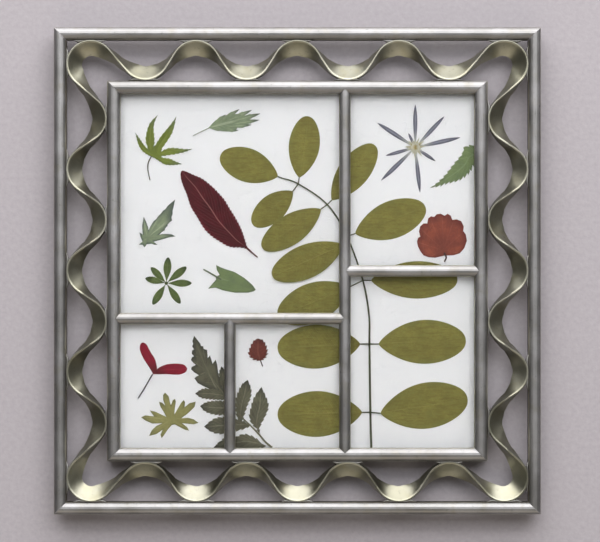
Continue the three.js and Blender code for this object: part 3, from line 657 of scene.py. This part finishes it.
class Leaves:
    """Collects the blades and stalks of one pressed plant piece, then makes it one object."""

    def __init__(self, layer=0):
        self.vertices, self.faces, self.uvs = [], [], []
        self.back = PAPER_Y - 0.05 - LAYER_HEIGHT * layer
        self.count = 0

    def grid(self, rows, thickness, crown=CROWN):
        """Rows of (x, z, u, v) points across the blade, front side and back side."""
        lift = LIFT * (self.count % 7)
        self.count += 1
        start = len(self.vertices)
        across = len(rows[0])
        for back in (False, True):
            for row in rows:
                for j, (x, z, u, v) in enumerate(row):
                    side = abs(2 * v - 1)
                    ripple = 0.10 * noise.noise(Vector((x * 0.35, z * 0.35, self.count)))
                    rise = max(thickness + crown * (side - side ** 4) + ripple * side, THINNEST)
                    y = self.back - lift - (0 if back else rise)
                    self.vertices.append((x * LAYOUT_SCALE, y, z * LAYOUT_SCALE))
                    self.uvs.append((u, v))
        half = len(rows) * across
        for i in range(len(rows) - 1):
            for j in range(across - 1):
                a = start + i * across + j
                b = a + across
                self.faces.append((a, a + 1, b + 1, b))
                self.faces.append((a + half, b + half, b + half + 1, a + half + 1))
        border = [i * across for i in range(len(rows))]
        border += [(len(rows) - 1) * across + j for j in range(1, across)]
        border += [i * across + across - 1 for i in range(len(rows) - 2, -1, -1)]
        border += [j for j in range(across - 2, 0, -1)]
        for a, b in zip(border, border[1:] + border[:1]):
            self.faces.append((start + a, start + b, start + b + half, start + a + half))

    def blade(self, x, z, angle, length, width, widest=0.5, round_base=0.7, round_tip=0.6, teeth=0,
              tooth=0.0, lean=0.0, bend=0.0, rows=0):
        """A blade from its foot at (x, z). bend curves its midrib to the left, in millimetres at the tip."""
        turn = math.radians(angle)
        cos, sin = math.cos(turn), math.sin(turn)
        count = rows or (teeth * ROWS_PER_TOOTH if teeth else BLADE_ROWS)
        places = [-1, -0.86, -0.6, -0.3, -0.08, 0, 0.08, 0.3, 0.6, 0.86, 1]
        out = []
        for i in range(count + 1):
            t = i / count
            if not teeth:
                t = 0.5 - 0.5 * math.cos(math.pi * t)
            wide = width / 2 * profile(min(max(t, 1e-4), 1 - 1e-4), widest, round_base, round_tip)
            saw = sawtooth(t, teeth) - 1 if teeth else 0.0
            reach = max(0.06, wide + saw * tooth * (1 if t < 0.93 else 0.4))
            row = []
            for v in places:
                px = t * length + lean * abs(v) * reach
                px = min(px, length) if abs(v) > 0.5 else px
                pz = v * reach + bend * t * t
                row.append((x + px * cos - pz * sin, z + px * sin + pz * cos, t, 0.5 + 0.5 * v))
            out.append(row)
        self.grid(out, BLADE_THICKNESS)

    def between(self, left, right, teeth=0, tooth=0.0, lean=0.4):
        """A blade given by its two edges, each a line of points from the foot to the tip."""
        count = max(teeth * ROWS_PER_TOOTH, EDGE_ROWS)
        edges = [spaced(smooth_line(line, 6), count) for line in (right, left)]
        rows = []
        for i, (low, high) in enumerate(zip(*edges)):
            t = i / count
            saw = sawtooth(t, teeth) - 0.6 if teeth else 0.0
            saw *= tooth * min(1.0, (1 - t) * 6)
            middle = (low + high) / 2
            ends = []
            for line, edge in zip(edges, (low, high)):
                ahead = (line[min(i + 1, count)] - line[max(i - 1, 0)]).normalized()
                out = Vector((-ahead.y, ahead.x))
                if out.dot(edge - middle) < 0:
                    out = -out
                ends.append(edge + out * saw + ahead * saw * lean)
            row = []
            for v in (0, 0.07, 0.2, 0.35, 0.46, 0.5, 0.54, 0.65, 0.8, 0.93, 1):
                if v < 0.5:
                    p = ends[0] + (middle - ends[0]) * v * 2
                else:
                    p = middle + (ends[1] - middle) * (v * 2 - 1)
                row.append((p.x, p.y, t, v))
            rows.append(row)
        self.grid(rows, BLADE_THICKNESS)

    def strand(self, points, start_width, end_width, thickness=STALK_THICKNESS):
        """A stalk through points, smoothed by Catmull-Rom. Its u runs from -1.1 to -0.1."""
        line = smooth_line(points)
        rows = []
        last = len(line) - 1
        for i, p in enumerate(line):
            ahead = line[min(i + 1, last)] - line[max(i - 1, 0)]
            normal = Vector((-ahead.y, ahead.x)).normalized()
            half = (start_width + (end_width - start_width) * i / last) / 2
            half *= 1 + 0.12 * noise.noise(Vector((p.x * 0.4, p.y * 0.4, 3)))
            rows.append([(p.x - normal.x * half * v, p.y - normal.y * half * v, i / last - 1.1, 0.5 + 0.5 * v)
                         for v in (-1, -0.7, 0, 0.7, 1)])
        self.grid(rows, thickness, 0.0)

    def fan(self, x, z, outline, thickness=FLAT_THICKNESS, sectors=1):
        """A leaf whose veins spread from its foot: outline is a list of (angle, reach).

        With more sectors than one, v runs up and down once in each, so that it meets itself without a seam."""
        rows = []
        for i in range(FAN_ROWS + 1):
            share = (i / FAN_ROWS) ** 0.8
            row = []
            for j, (angle, reach) in enumerate(outline):
                a = math.radians(angle)
                turn = j * sectors / (len(outline) - 1)
                across = turn if sectors == 1 else 1 - abs(2 * (turn % 1.0) - 1)
                row.append((x + share * reach * math.cos(a), z + share * reach * math.sin(a), share, across))
            rows.append(row)
        self.grid(rows, thickness, 0.0)

    def outlined(self, centre, corners, sectors=1, per_edge=5):
        """A flat leaf from the corners of its outline, seen all round from a point inside it."""
        outline = []
        for (x0, z0), (x1, z1) in zip(corners, corners[1:] + corners[:1]):
            for k in range(per_edge):
                x = x0 + (x1 - x0) * k / per_edge - centre[0]
                z = z0 + (z1 - z0) * k / per_edge - centre[1]
                angle = math.degrees(math.atan2(z, x))
                if outline:
                    angle += 360 * round((outline[-1][0] - angle) / 360)
                outline.append((angle, math.hypot(x, z)))
        whole = 360 if outline[-1][0] > outline[0][0] else -360
        outline.append((outline[0][0] + whole, outline[0][1]))
        self.fan(*centre, outline, sectors=sectors)

    def piece(self, name, material, slot, replaced):
        made = add_piece(name, self.vertices, self.faces, material, replaced, self.uvs)
        outward(made)
        sharpen(made, 60)


# Outlines and places of the plants, in millimetres of the layout: (x, z) from the middle of the frame


def pinnate_leaf():
    leaflets = [  # foot, tip, width, layer
        ((-10.5, 50.5), (-41, 62), 18, 0),
        ((1, 50), (6.5, 82.5), 16.5, 0),
        ((-2.5, 42.5), (-24, 25), 14.5, 0),
        ((18.5, 38), (41, 67.5), 16.5, 0),
        ((12.5, 33), (-18.5, 12), 16, 1),
        ((31, 20), (68.5, 34), 20, 0),
        ((24.5, 14), (-13, -3.5), 18, 2),
        ((39.5, -5), (85.5, -4.5), 20, 0),
        ((28, -8.5), (-10, -25), 21, 0),
        ((43.5, -39), (90, -36.5), 23.5, 0),
        ((33.5, -39), (-10.5, -42), 23.5, 0),
        ((44.5, -76), (91, -68.5), 24.5, 0),
        ((34.5, -75.5), (-10.5, -77.5), 24.5, 0),
    ]
    for number, (foot, tip, width, layer) in enumerate(leaflets, start=1):
        made = Leaves(layer)
        dx, dz = tip[0] - foot[0], tip[1] - foot[1]
        made.blade(*foot, math.degrees(math.atan2(dz, dx)), math.hypot(dx, dz), width, widest=0.54,
                   round_base=0.63, round_tip=0.46, bend=random.uniform(-0.8, 0.8), rows=56)
        made.piece(f"pressed_leaflet_{number:02d}", OLIVE, "leaf_olive", [f"leaflet_{number:02d}"])
    stalk = Leaves()
    line = [(39.5, -95), (39, -75.5), (38.5, -39), (38.3, -24), (35, -5), (26.5, 18.5), (16, 35.5),
            (0.5, 46.5), (-9.5, 50)]
    stalk.strand(line, 1.2, 0.6, 0.55)
    joints = [8, 7, 7, 6, 6, 5, 5, 4, 4, 2, 2, 1, 1]
    for (foot, _, _, layer), joint in zip(leaflets, joints):
        stalk.strand([line[joint], foot], 0.7, 0.55, 0.45 if not layer else 0.3)
    stalk.piece("pressed_stalk", STALK, "leaf_stalk", ["pinnate_stalk"])


def maple_leaf():
    maple = Leaves()
    palm = [(a, 4.6 - 0.6 * math.cos(math.radians(a * 8))) for a in range(-40, 161, 4)]
    maple.fan(-77.4, 62.4, palm, 0.1)
    lobes = [
        ([(-78.4, 61.2), (-80.5, 62.3), (-83.4, 64.7), (-85.3, 68.5), (-86.6, 74.0)],
         [(-78.0, 61.7), (-79.9, 64.9), (-81.9, 67.4), (-83.9, 70.3), (-86.6, 74.0)]),
        ([(-78.4, 61.7), (-79.3, 64.3), (-80.5, 67.2), (-81.1, 70.0), (-80.6, 73.9), (-79.5, 77.7),
          (-78.0, 80.1), (-74.6, 83.4)],
         [(-77.2, 61.9), (-76.9, 65.3), (-76.3, 68.6), (-76.4, 72.0), (-76.7, 75.8), (-76.3, 79.1),
          (-74.6, 83.4)]),
        ([(-77.4, 62.4), (-76.1, 66.7), (-74.8, 69.1), (-72.4, 72.7), (-70.0, 75.5), (-66.9, 79.4),
          (-64.7, 82.5)],
         [(-75.7, 61.7), (-73.1, 63.8), (-71.7, 66.2), (-69.3, 69.6), (-67.0, 73.4), (-65.6, 77.7),
          (-64.7, 82.5)]),
        ([(-76.9, 62.2), (-73.8, 63.4), (-71.4, 64.7), (-68.6, 65.7), (-64.7, 65.7), (-60.5, 65.2),
          (-56.0, 65.2)],
         [(-76.9, 61.2), (-74.3, 61.0), (-71.4, 61.4), (-68.6, 61.9), (-65.2, 62.4), (-60.0, 63.6),
          (-56.0, 65.2)]),
        ([(-76.9, 61.7), (-73.8, 61.1), (-71.0, 60.5), (-68.1, 60.1), (-65.7, 58.9), (-61.6, 57.1)],
         [(-78.2, 61.2), (-75.7, 59.9), (-73.3, 58.3), (-70.5, 56.8), (-66.2, 56.6), (-61.6, 57.1)]),
    ]
    for left, right in lobes:
        maple.between(left, right, 9, 0.5, 0.9)
    maple.fan(-77.7, 61.9, [(a, 1.0) for a in range(0, 361, 30)], 0.1)
    maple.strand([(-78, 61.2), (-79.6, 57.9), (-79.8, 53.8), (-78.7, 48.5)], 0.55, 0.5)
    maple.piece("pressed_maple", YELLOW_GREEN, "leaf_yellow_green", ["maple_leaf"])


def feather_leaf():
    feather = Leaves()
    x, z = -47.5, 76.5
    feather.blade(x, z, 14, 23, 9.4, 0.45, 0.85, 1.0, rows=30, teeth=5, tooth=0.5, lean=0.3)
    lobes = [  # foot from the leaf's foot, angle, length, width
        (6, 3.2, 32.5, 12.5, 2.6), (2.5, 1.8, 38, 8.5, 2.2), (10, 3.5, 24.4, 14.5, 2.8),
        (13, 3.4, 16, 15.2, 2.8), (13, 2, 8.8, 14.4, 2.6), (10, 0.6, 4.4, 13, 2.6), (7, -0.8, -4, 9, 2.4)]
    for dx, dz, angle, length, width in lobes:
        feather.blade(x + dx, z + dz, angle, length, width, 0.5, 0.6, 1.0, teeth=3, tooth=0.3, lean=0.5)
    feather.strand([(-46.5, 76.7), (-51, 74.6), (-55.9, 72.2)], 0.45, 0.3)
    feather.piece("pressed_feather_leaf", GREY_GREEN, "leaf_grey_green", ["grey_green_leaf"])


def forked_leaf():
    forked = Leaves()
    forked.outlined((-80.1, 17.8), [
        (-65.3, 38.2), (-69.3, 34.8), (-70.4, 33.0), (-71.8, 32.3), (-72.8, 30.7), (-74.4, 29.3),
        (-75.4, 27.6), (-76.8, 26.7), (-78.9, 23.1), (-79.4, 21.6), (-79.7, 23.3), (-80.7, 26.1),
        (-82.1, 29.0), (-82.4, 26.6), (-82.9, 24.3), (-82.7, 21.2), (-82.4, 17.8), (-83.2, 18.9),
        (-84.4, 20.7), (-83.8, 18.2), (-82.8, 16.0), (-83.0, 15.0), (-84.7, 14.1), (-82.7, 14.0),
        (-81.6, 12.6), (-80.5, 14.3), (-77.9, 14.6), (-76.3, 14.0), (-74.7, 14.0), (-76.0, 15.0),
        (-77.2, 15.5), (-74.4, 16.3), (-70.8, 17.3), (-68.2, 18.1), (-65.1, 18.5), (-67.2, 19.6),
        (-69.3, 19.8), (-72.3, 19.7), (-74.1, 19.0), (-72.3, 20.9), (-70.7, 21.8), (-70.7, 22.8),
        (-69.3, 24.1), (-69.4, 24.8), (-68.1, 26.1), (-66.9, 27.0), (-67.3, 28.7), (-66.6, 30.7),
        (-66.7, 32.2), (-66.1, 34.3)], 3)
    forked.piece("pressed_forked_leaf", GREY_GREEN, "leaf_grey_green", ["forked_leaf"])


def whorl_leaf():
    whorl = Leaves()
    x, z = -70, -6.5
    blades = [  # angle, length, width
        (86, 13.8, 4.2), (39, 13.8, 4), (0, 13.5, 3.8), (-55.5, 13.2, 3.8), (-122.5, 13.5, 4),
        (167, 11.5, 3.6), (134, 11.7, 3.6)]
    for angle, length, width in blades:
        whorl.blade(x, z, angle, length, width, 0.62, 1.1, 0.55)
    whorl.fan(x, z, [(a, 0.9) for a in range(0, 361, 30)])
    whorl.piece("pressed_whorl", DARK_GREEN, "leaf_dark_green", ["whorl_leaf"])


def arrowhead_leaf():
    arrow = Leaves()
    arrow.outlined((-36.0, -5.4), [
        (-22.2, -10.0), (-24.0, -7.4), (-28.3, -3.7), (-33.4, -0.6), (-38.6, 1.1), (-41.1, 2.0),
        (-43.4, 3.2), (-43.0, 0.5), (-41.5, -2.0), (-43.6, -3.2), (-43.4, -4.6), (-45.1, -6.5),
        (-47.7, -9.5), (-45.7, -9.1), (-43.7, -8.9), (-39.6, -10.4), (-33.4, -11.6), (-26.3, -11.6),
        (-23.2, -10.8)])
    arrow.strand([(-40.6, -4.6), (-45.7, -1.6), (-50.2, 0.9)], 0.95, 0.7)
    arrow.piece("pressed_arrowhead", FRESH_GREEN, "leaf_fresh_green", ["arrowhead_leaf"])


def long_red_leaf():
    long_leaf = Leaves()
    long_leaf.between(
        [(-26.5, 11.8), (-30.9, 12.5), (-34.5, 12.5), (-37.5, 13.3), (-41.1, 15.4), (-45.7, 18.4),
         (-49.8, 22.5), (-53.9, 29.2), (-57.0, 34.3), (-59.0, 40.4), (-60.9, 45.0), (-62.2, 49.1),
         (-62.3, 52.7), (-61.3, 53.7)],
        [(-26.5, 12.0), (-27.8, 16.4), (-30.1, 23.0), (-33.4, 29.2), (-36.0, 33.3), (-39.1, 38.4),
         (-43.7, 43.5), (-46.7, 46.3), (-50.8, 49.4), (-54.9, 51.2), (-59.0, 53.0), (-61.3, 53.7)],
        30, 0.8, 0.4)
    long_leaf.strand([(-27.1, 12.4), (-24.2, 9.8), (-21.2, 7.3)], 1.0, 0.7)
    long_leaf.piece("pressed_long_leaf", DARK_RED, "leaf_dark_red", ["long_red_leaf"])


def star_flower():
    bracts = Leaves()
    x, z = 63, 66
    blades = [  # angle, length, width
        (90, 22.5, 2.2), (47, 22.3, 2.2), (12.5, 24.2, 2.3), (-34, 12.6, 1.7), (-84, 23.8, 2.2),
        (-136, 25, 2.3), (-164.5, 16, 1.8), (147, 23.6, 2.3), (115.5, 8, 1.4)]
    for angle, length, width in blades:
        bracts.blade(x, z, angle, length + 0.4, width, 0.6, 0.6, 0.75)
    bracts.piece("pressed_bracts", SLATE, "bract_slate", ["star_flower_bracts"])

    head = Leaves(1)
    florets = 34
    for i in range(florets):
        length = random.uniform(2.8, 6.2)
        angle = i * 360 / florets + random.uniform(-5, 5)
        head.blade(x, z, angle, length, 0.7, 0.6, 0.6, 0.7, rows=8)
    # The sine of whole degrees read as radians gives the disc a ragged edge.
    head.fan(x, z, [(a, 2.3 + 0.3 * math.sin(a)) for a in range(0, 361, 15)], 0.4)
    head.piece("pressed_flower_head", STRAW, "flower_straw", ["star_flower_head"])


def saw_edged_leaf():
    saw = Leaves()
    saw.between([(97.5, 59.7), (94.1, 55.9), (91.4, 51.8), (86.5, 48.4), (80.3, 46.8), (76.0, 45.3),
                 (70.9, 44.4)],
                [(97.5, 68.3), (94.1, 67.4), (89.5, 66.4), (88.0, 62.5), (83.7, 57.3), (79.1, 51.4),
                 (75.1, 47.5), (70.9, 44.4)],
                12, 1.5, 0.7)
    saw.piece("pressed_saw_leaf", FRESH_GREEN, "leaf_fresh_green", ["saw_edged_leaf"])


def scalloped_leaf():
    round_leaf = Leaves()
    round_leaf.outlined((78.0, 11.1), [
        (78.6, 8.2), (73.6, 7.1), (69.9, 7.4), (67.4, 8.4), (65.9, 10.3), (64.4, 13.1), (63.9, 15.8),
        (64.5, 17.7), (65.7, 18.3), (65.0, 21.1), (65.6, 23.8), (67.4, 25.4), (69.4, 25.4), (69.9, 28.1),
        (71.4, 29.2), (73.1, 28.9), (74.5, 30.3), (76.6, 30.6), (78.7, 29.5), (80.3, 30.6), (82.0, 29.5),
        (82.8, 27.3), (85.2, 27.6), (87.6, 26.6), (88.9, 23.8), (88.6, 21.4), (90.0, 19.5), (90.6, 16.2),
        (89.2, 12.2), (86.8, 9.5), (83.7, 8.5)], 4)
    round_leaf.strand([(78.4, 9.7), (79.5, 7.3), (78.5, 4.8)], 1.0, 0.7)
    round_leaf.piece("pressed_scalloped_leaf", BRICK_RED, "leaf_brick_red", ["scalloped_red_leaf"])


def winged_seed():
    seed = Leaves()
    seed.between([(-77.1, -55.1), (-78.9, -51.9), (-80.6, -49.3), (-82.4, -46.4), (-83.8, -43.1),
                  (-84.2, -40.5), (-83.4, -38.6), (-82.4, -38.1)],
                 [(-76.2, -55.0), (-75.0, -52.8), (-75.4, -49.3), (-76.4, -46.4), (-78.0, -44.0),
                  (-79.5, -41.3), (-80.6, -39.2), (-82.4, -38.1)])
    seed.between([(-76.9, -54.6), (-74.2, -51.8), (-70.9, -50.2), (-67.8, -49.6), (-63.8, -49.5),
                  (-60.5, -50.1), (-58.8, -52.0)],
                 [(-76.9, -55.1), (-73.6, -55.2), (-70.5, -55.1), (-64.7, -55.4), (-62.0, -55.1),
                  (-59.5, -53.8), (-58.8, -52.0)])
    seed.strand([(-77.3, -55.1), (-79.3, -58.5), (-82.2, -63.5), (-85.1, -68.0)], 0.75, 0.55)
    seed.piece("pressed_winged_seed", CRIMSON, "seed_crimson", ["winged_seed"])


def lobed_leaf():
    lobed = Leaves()
    lobed.outlined((-67.2, -79.3), [
        (-70.7, -64.9), (-68.7, -67.0), (-68.1, -70.1), (-67.5, -71.7), (-66.5, -69.0), (-65.4, -68.3),
        (-64.9, -69.7), (-65.6, -74.5), (-65.7, -77.3), (-64.0, -74.5), (-62.2, -70.6), (-60.7, -68.9),
        (-60.0, -70.1), (-60.3, -72.8), (-57.6, -70.6), (-54.3, -69.8), (-54.9, -72.6), (-58.3, -75.9),
        (-62.0, -78.7), (-58.5, -78.4), (-55.4, -79.2), (-52.8, -81.1), (-55.4, -81.9), (-61.6, -81.3),
        (-58.9, -83.4), (-57.8, -85.3), (-60.3, -84.7), (-65.4, -82.0), (-67.1, -82.3), (-69.1, -84.5),
        (-71.3, -87.8), (-72.5, -89.3), (-73.1, -87.4), (-71.9, -84.7), (-75.3, -87.1), (-79.2, -88.1),
        (-77.8, -85.1), (-75.3, -82.8), (-72.2, -81.3), (-77.5, -81.5), (-81.1, -79.9), (-83.4, -78.2),
        (-81.3, -77.1), (-76.5, -77.7), (-77.8, -75.9), (-78.8, -74.5), (-75.8, -75.2), (-69.8, -78.4),
        (-71.3, -75.4), (-73.1, -72.6), (-73.9, -69.9), (-72.4, -70.3), (-70.6, -71.9), (-71.7, -68.8),
        (-71.7, -66.3)], 5, 4)
    lobed.piece("pressed_lobed_leaf", YELLOW_OLIVE, "leaf_yellow_olive", ["lobed_olive_leaf"])


def small_red_leaf():
    cone = Leaves()
    cone.between([(-19.7, -48.0), (-22.9, -47.7), (-25.2, -46.2), (-26.2, -44.2), (-25.6, -41.7),
                  (-24.2, -38.5), (-22.5, -36.7), (-21.0, -36.1)],
                 [(-19.5, -48.0), (-17.3, -46.8), (-15.9, -44.4), (-16.1, -41.4), (-17.0, -38.9),
                  (-18.5, -36.9), (-21.0, -36.1)],
                 8, 1.3, 0.5)
    cone.strand([(-19.7, -47.7), (-19.4, -48.6), (-18.5, -51.0)], 0.6, 0.5)
    cone.piece("pressed_small_leaf", DEEP_BRICK, "leaf_brick_red", ["small_red_leaf"])


def fern():
    made = Leaves()
    leaflets = [  # left edge, right edge
        ([(-39.4, -95.4), (-42.1, -95.4), (-44.9, -94.7)],
         [(-36.4, -89.7), (-42.3, -92.1), (-44.9, -94.7)]),
        ([(-16.7, -94.1), (-21.9, -94.9), (-29.0, -95.0), (-36.7, -95.0), (-45.1, -94.8)],
         [(-19.7, -91.1), (-23.6, -88.3), (-28.5, -87.0), (-32.8, -88.3), (-38.3, -88.9), (-41.6, -91.1),
          (-45.1, -94.8)]),
        ([(-24.7, -82.6), (-27.9, -84.3), (-32.6, -85.6), (-37.8, -87.0), (-43.4, -86.9), (-47.2, -85.3),
          (-49.8, -83.1)],
         [(-26.8, -81.3), (-29.0, -79.9), (-32.3, -78.9), (-37.8, -77.9), (-43.0, -78.3), (-46.5, -80.1),
          (-49.8, -83.1)]),
        ([(-33.5, -75.0), (-39.4, -77.0), (-43.0, -77.0), (-47.4, -76.0), (-50.3, -74.3), (-51.9, -72.1)],
         [(-34.5, -72.5), (-39.4, -69.4), (-44.3, -69.3), (-48.3, -69.9), (-50.5, -71.0), (-51.9, -72.1)]),
        ([(-37.0, -68.8), (-39.4, -69.0), (-44.3, -68.8), (-50.5, -68.1), (-52.7, -67.0), (-54.6, -65.5)],
         [(-39.0, -65.5), (-41.4, -63.6), (-44.3, -62.8), (-49.2, -62.6), (-52.3, -63.7), (-54.6, -65.5)]),
        ([(-30.1, -80.4), (-32.4, -78.0), (-33.2, -70.3), (-31.4, -63.8), (-29.3, -60.2), (-26.5, -58.2)],
         [(-29.4, -80.4), (-28.2, -76.9), (-26.8, -72.5), (-24.7, -67.1), (-24.7, -62.7), (-26.5, -58.2)]),
        ([(-20.3, -87.3), (-21.9, -84.5), (-24.7, -81.3), (-25.8, -77.4), (-25.1, -73.6), (-23.8, -69.0),
          (-21.9, -65.4), (-19.2, -62.0)],
         [(-19.9, -87.3), (-19.9, -83.4), (-16.7, -76.9), (-15.3, -72.0), (-16.7, -67.1), (-19.2, -62.0)]),
        ([(-38.5, -67.0), (-41.0, -61.0), (-42.0, -57.0), (-41.8, -54.0), (-40.6, -51.0)],
         [(-37.5, -67.0), (-37.0, -61.0), (-37.2, -57.0), (-38.6, -53.0), (-40.6, -51.0)]),
    ]
    for left, right in leaflets:
        made.between(left, right, 9, 0.9, 0.6)
    made.outlined((-48.2, -53.5), [
        (-55.1, -34.6), (-51.8, -38.9), (-52.0, -40.0), (-50.3, -40.2), (-50.2, -41.6), (-48.2, -42.2),
        (-47.9, -46.6), (-46.7, -45.1), (-45.8, -47.9), (-45.2, -49.9), (-43.7, -47.4), (-42.9, -49.7),
        (-42.2, -55.0), (-40.4, -61.0), (-38.4, -66.5), (-42.5, -64.3), (-46.5, -63.2), (-49.6, -61.8),
        (-53.2, -59.9), (-55.0, -57.3), (-53.8, -56.3), (-52.2, -55.9), (-55.0, -54.2), (-56.7, -52.6),
        (-56.5, -51.3), (-54.2, -50.2), (-55.6, -49.0), (-56.9, -47.5), (-56.2, -46.0), (-54.6, -45.4),
        (-56.4, -44.2), (-56.3, -42.6), (-55.0, -41.6), (-56.2, -40.2), (-55.6, -38.8), (-56.1, -37.5)], 3)
    made.strand([(-13.5, -94.3), (-17.3, -91.1), (-20.3, -87.5), (-24.7, -82.9), (-29.0, -78.8),
                 (-34.5, -72.5), (-38.5, -66.5), (-44.5, -59.0), (-49.5, -50.0), (-53.5, -40.0)], 1.1, 0.3)
    made.piece("pressed_fern", FERN, "fern_brown", ["fern_leaf"])


build_ribbon()
build_solder()
pinnate_leaf()
maple_leaf()
feather_leaf()
forked_leaf()
whorl_leaf()
arrowhead_leaf()
long_red_leaf()
star_flower()
saw_edged_leaf()
scalloped_leaf()
winged_seed()
lobed_leaf()
small_red_leaf()
fern()


# Finishes on the solids that stay


def dress(node, material, bevel=0.0):
    """A material for a solid, smooth shading and, for a bent or cut plate, softened edges."""
    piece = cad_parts[node]
    piece.data.materials.clear()
    piece.data.materials.append(material)
    piece.data.shade_smooth()
    sharpen(piece, 30)
    if bevel:
        modifier = piece.modifiers.new("soft_edges", "BEVEL")
        modifier.width = bevel * MM
        modifier.segments = 2
        modifier.limit_method = "ANGLE"
        modifier.angle_limit = math.radians(50)


for side in ("top", "bottom", "left", "right"):
    dress(f"outer_bar_{side}", BAR)
    dress(f"inner_bar_{side}", BAR)
    dress(f"rim_{side}", RIM)
    dress(f"board_tab_{side}", RIM, 0.15)
for bar in ("window_upright", "window_upright_short", "window_rail_left", "window_rail_right"):
    dress(bar, BAR)
dress("hanging_strap", RIM, 0.2)
dress("glass_pane", glass())
dress("paper_mount", paper())
dress("backing_board", hardboard(), 0.2)


# Wall, light and camera


def wall():
    n = Nodes("pale_wall")
    flat = n.coords()
    fine = n.noise(flat, 420, 3, 0.6)
    colour = n.mix(n.span(fine, 0.3, 0.7), (0.305, 0.283, 0.302), (0.345, 0.32, 0.341))
    return n.finish(colour, 0.9, n.bump(fine, 0.25, 0.0004))


WALL_SIZE = 3.2
WALL_Y = BACK_Y + 0.6
UPRIGHT = (math.pi / 2, 0, 0)
bpy.ops.mesh.primitive_plane_add(size=WALL_SIZE, location=(0, WALL_Y * MM, 0), rotation=UPRIGHT)
backdrop = bpy.context.object
backdrop.name = "backdrop"
backdrop.data.materials.append(wall())

world = bpy.data.worlds.new("studio")
bpy.context.scene.world = world
world.use_nodes = True
sky = world.node_tree.nodes["Background"]
sky.inputs["Color"].default_value = (0.9, 0.9, 0.86, 1)
sky.inputs["Strength"].default_value = 0.11
bpy.context.scene.view_settings.view_transform = "Standard"


def area_light(name, location, size, power, colour):
    """A rectangular light that looks at the middle of the frame. Its power is in watts."""
    data = bpy.data.lights.new(name, "AREA")
    data.shape = "RECTANGLE"
    data.size, data.size_y = size
    data.energy = power
    data.color = colour
    light = bpy.data.objects.new(name, data)
    light.location = location
    light.rotation_euler = (Vector() - Vector(location)).to_track_quat("-Z", "Y").to_euler()
    bpy.context.collection.objects.link(light)


area_light("overhead", (0.05, -0.66, 1.2), (2.4, 1.6), 52, (1, 0.99, 0.985))
area_light("floor_bounce", (0, -0.8, -0.95), (1.6, 0.8), 5, (1, 0.9, 0.76))
area_light("room", (0.3, -2.0, 0.95), (2.6, 1.0), 34, (0.98, 0.985, 1))

CAMERA_X = 1.4
CAMERA_Y = -1205
camera_data = bpy.data.cameras.new("camera")
camera_data.sensor_width = 36
camera_data.lens = 137.0
camera = bpy.data.objects.new("camera", camera_data)
camera.location = (CAMERA_X * MM, CAMERA_Y * MM, 0)
camera.rotation_euler = UPRIGHT
bpy.context.collection.objects.link(camera)
bpy.context.scene.camera = camera
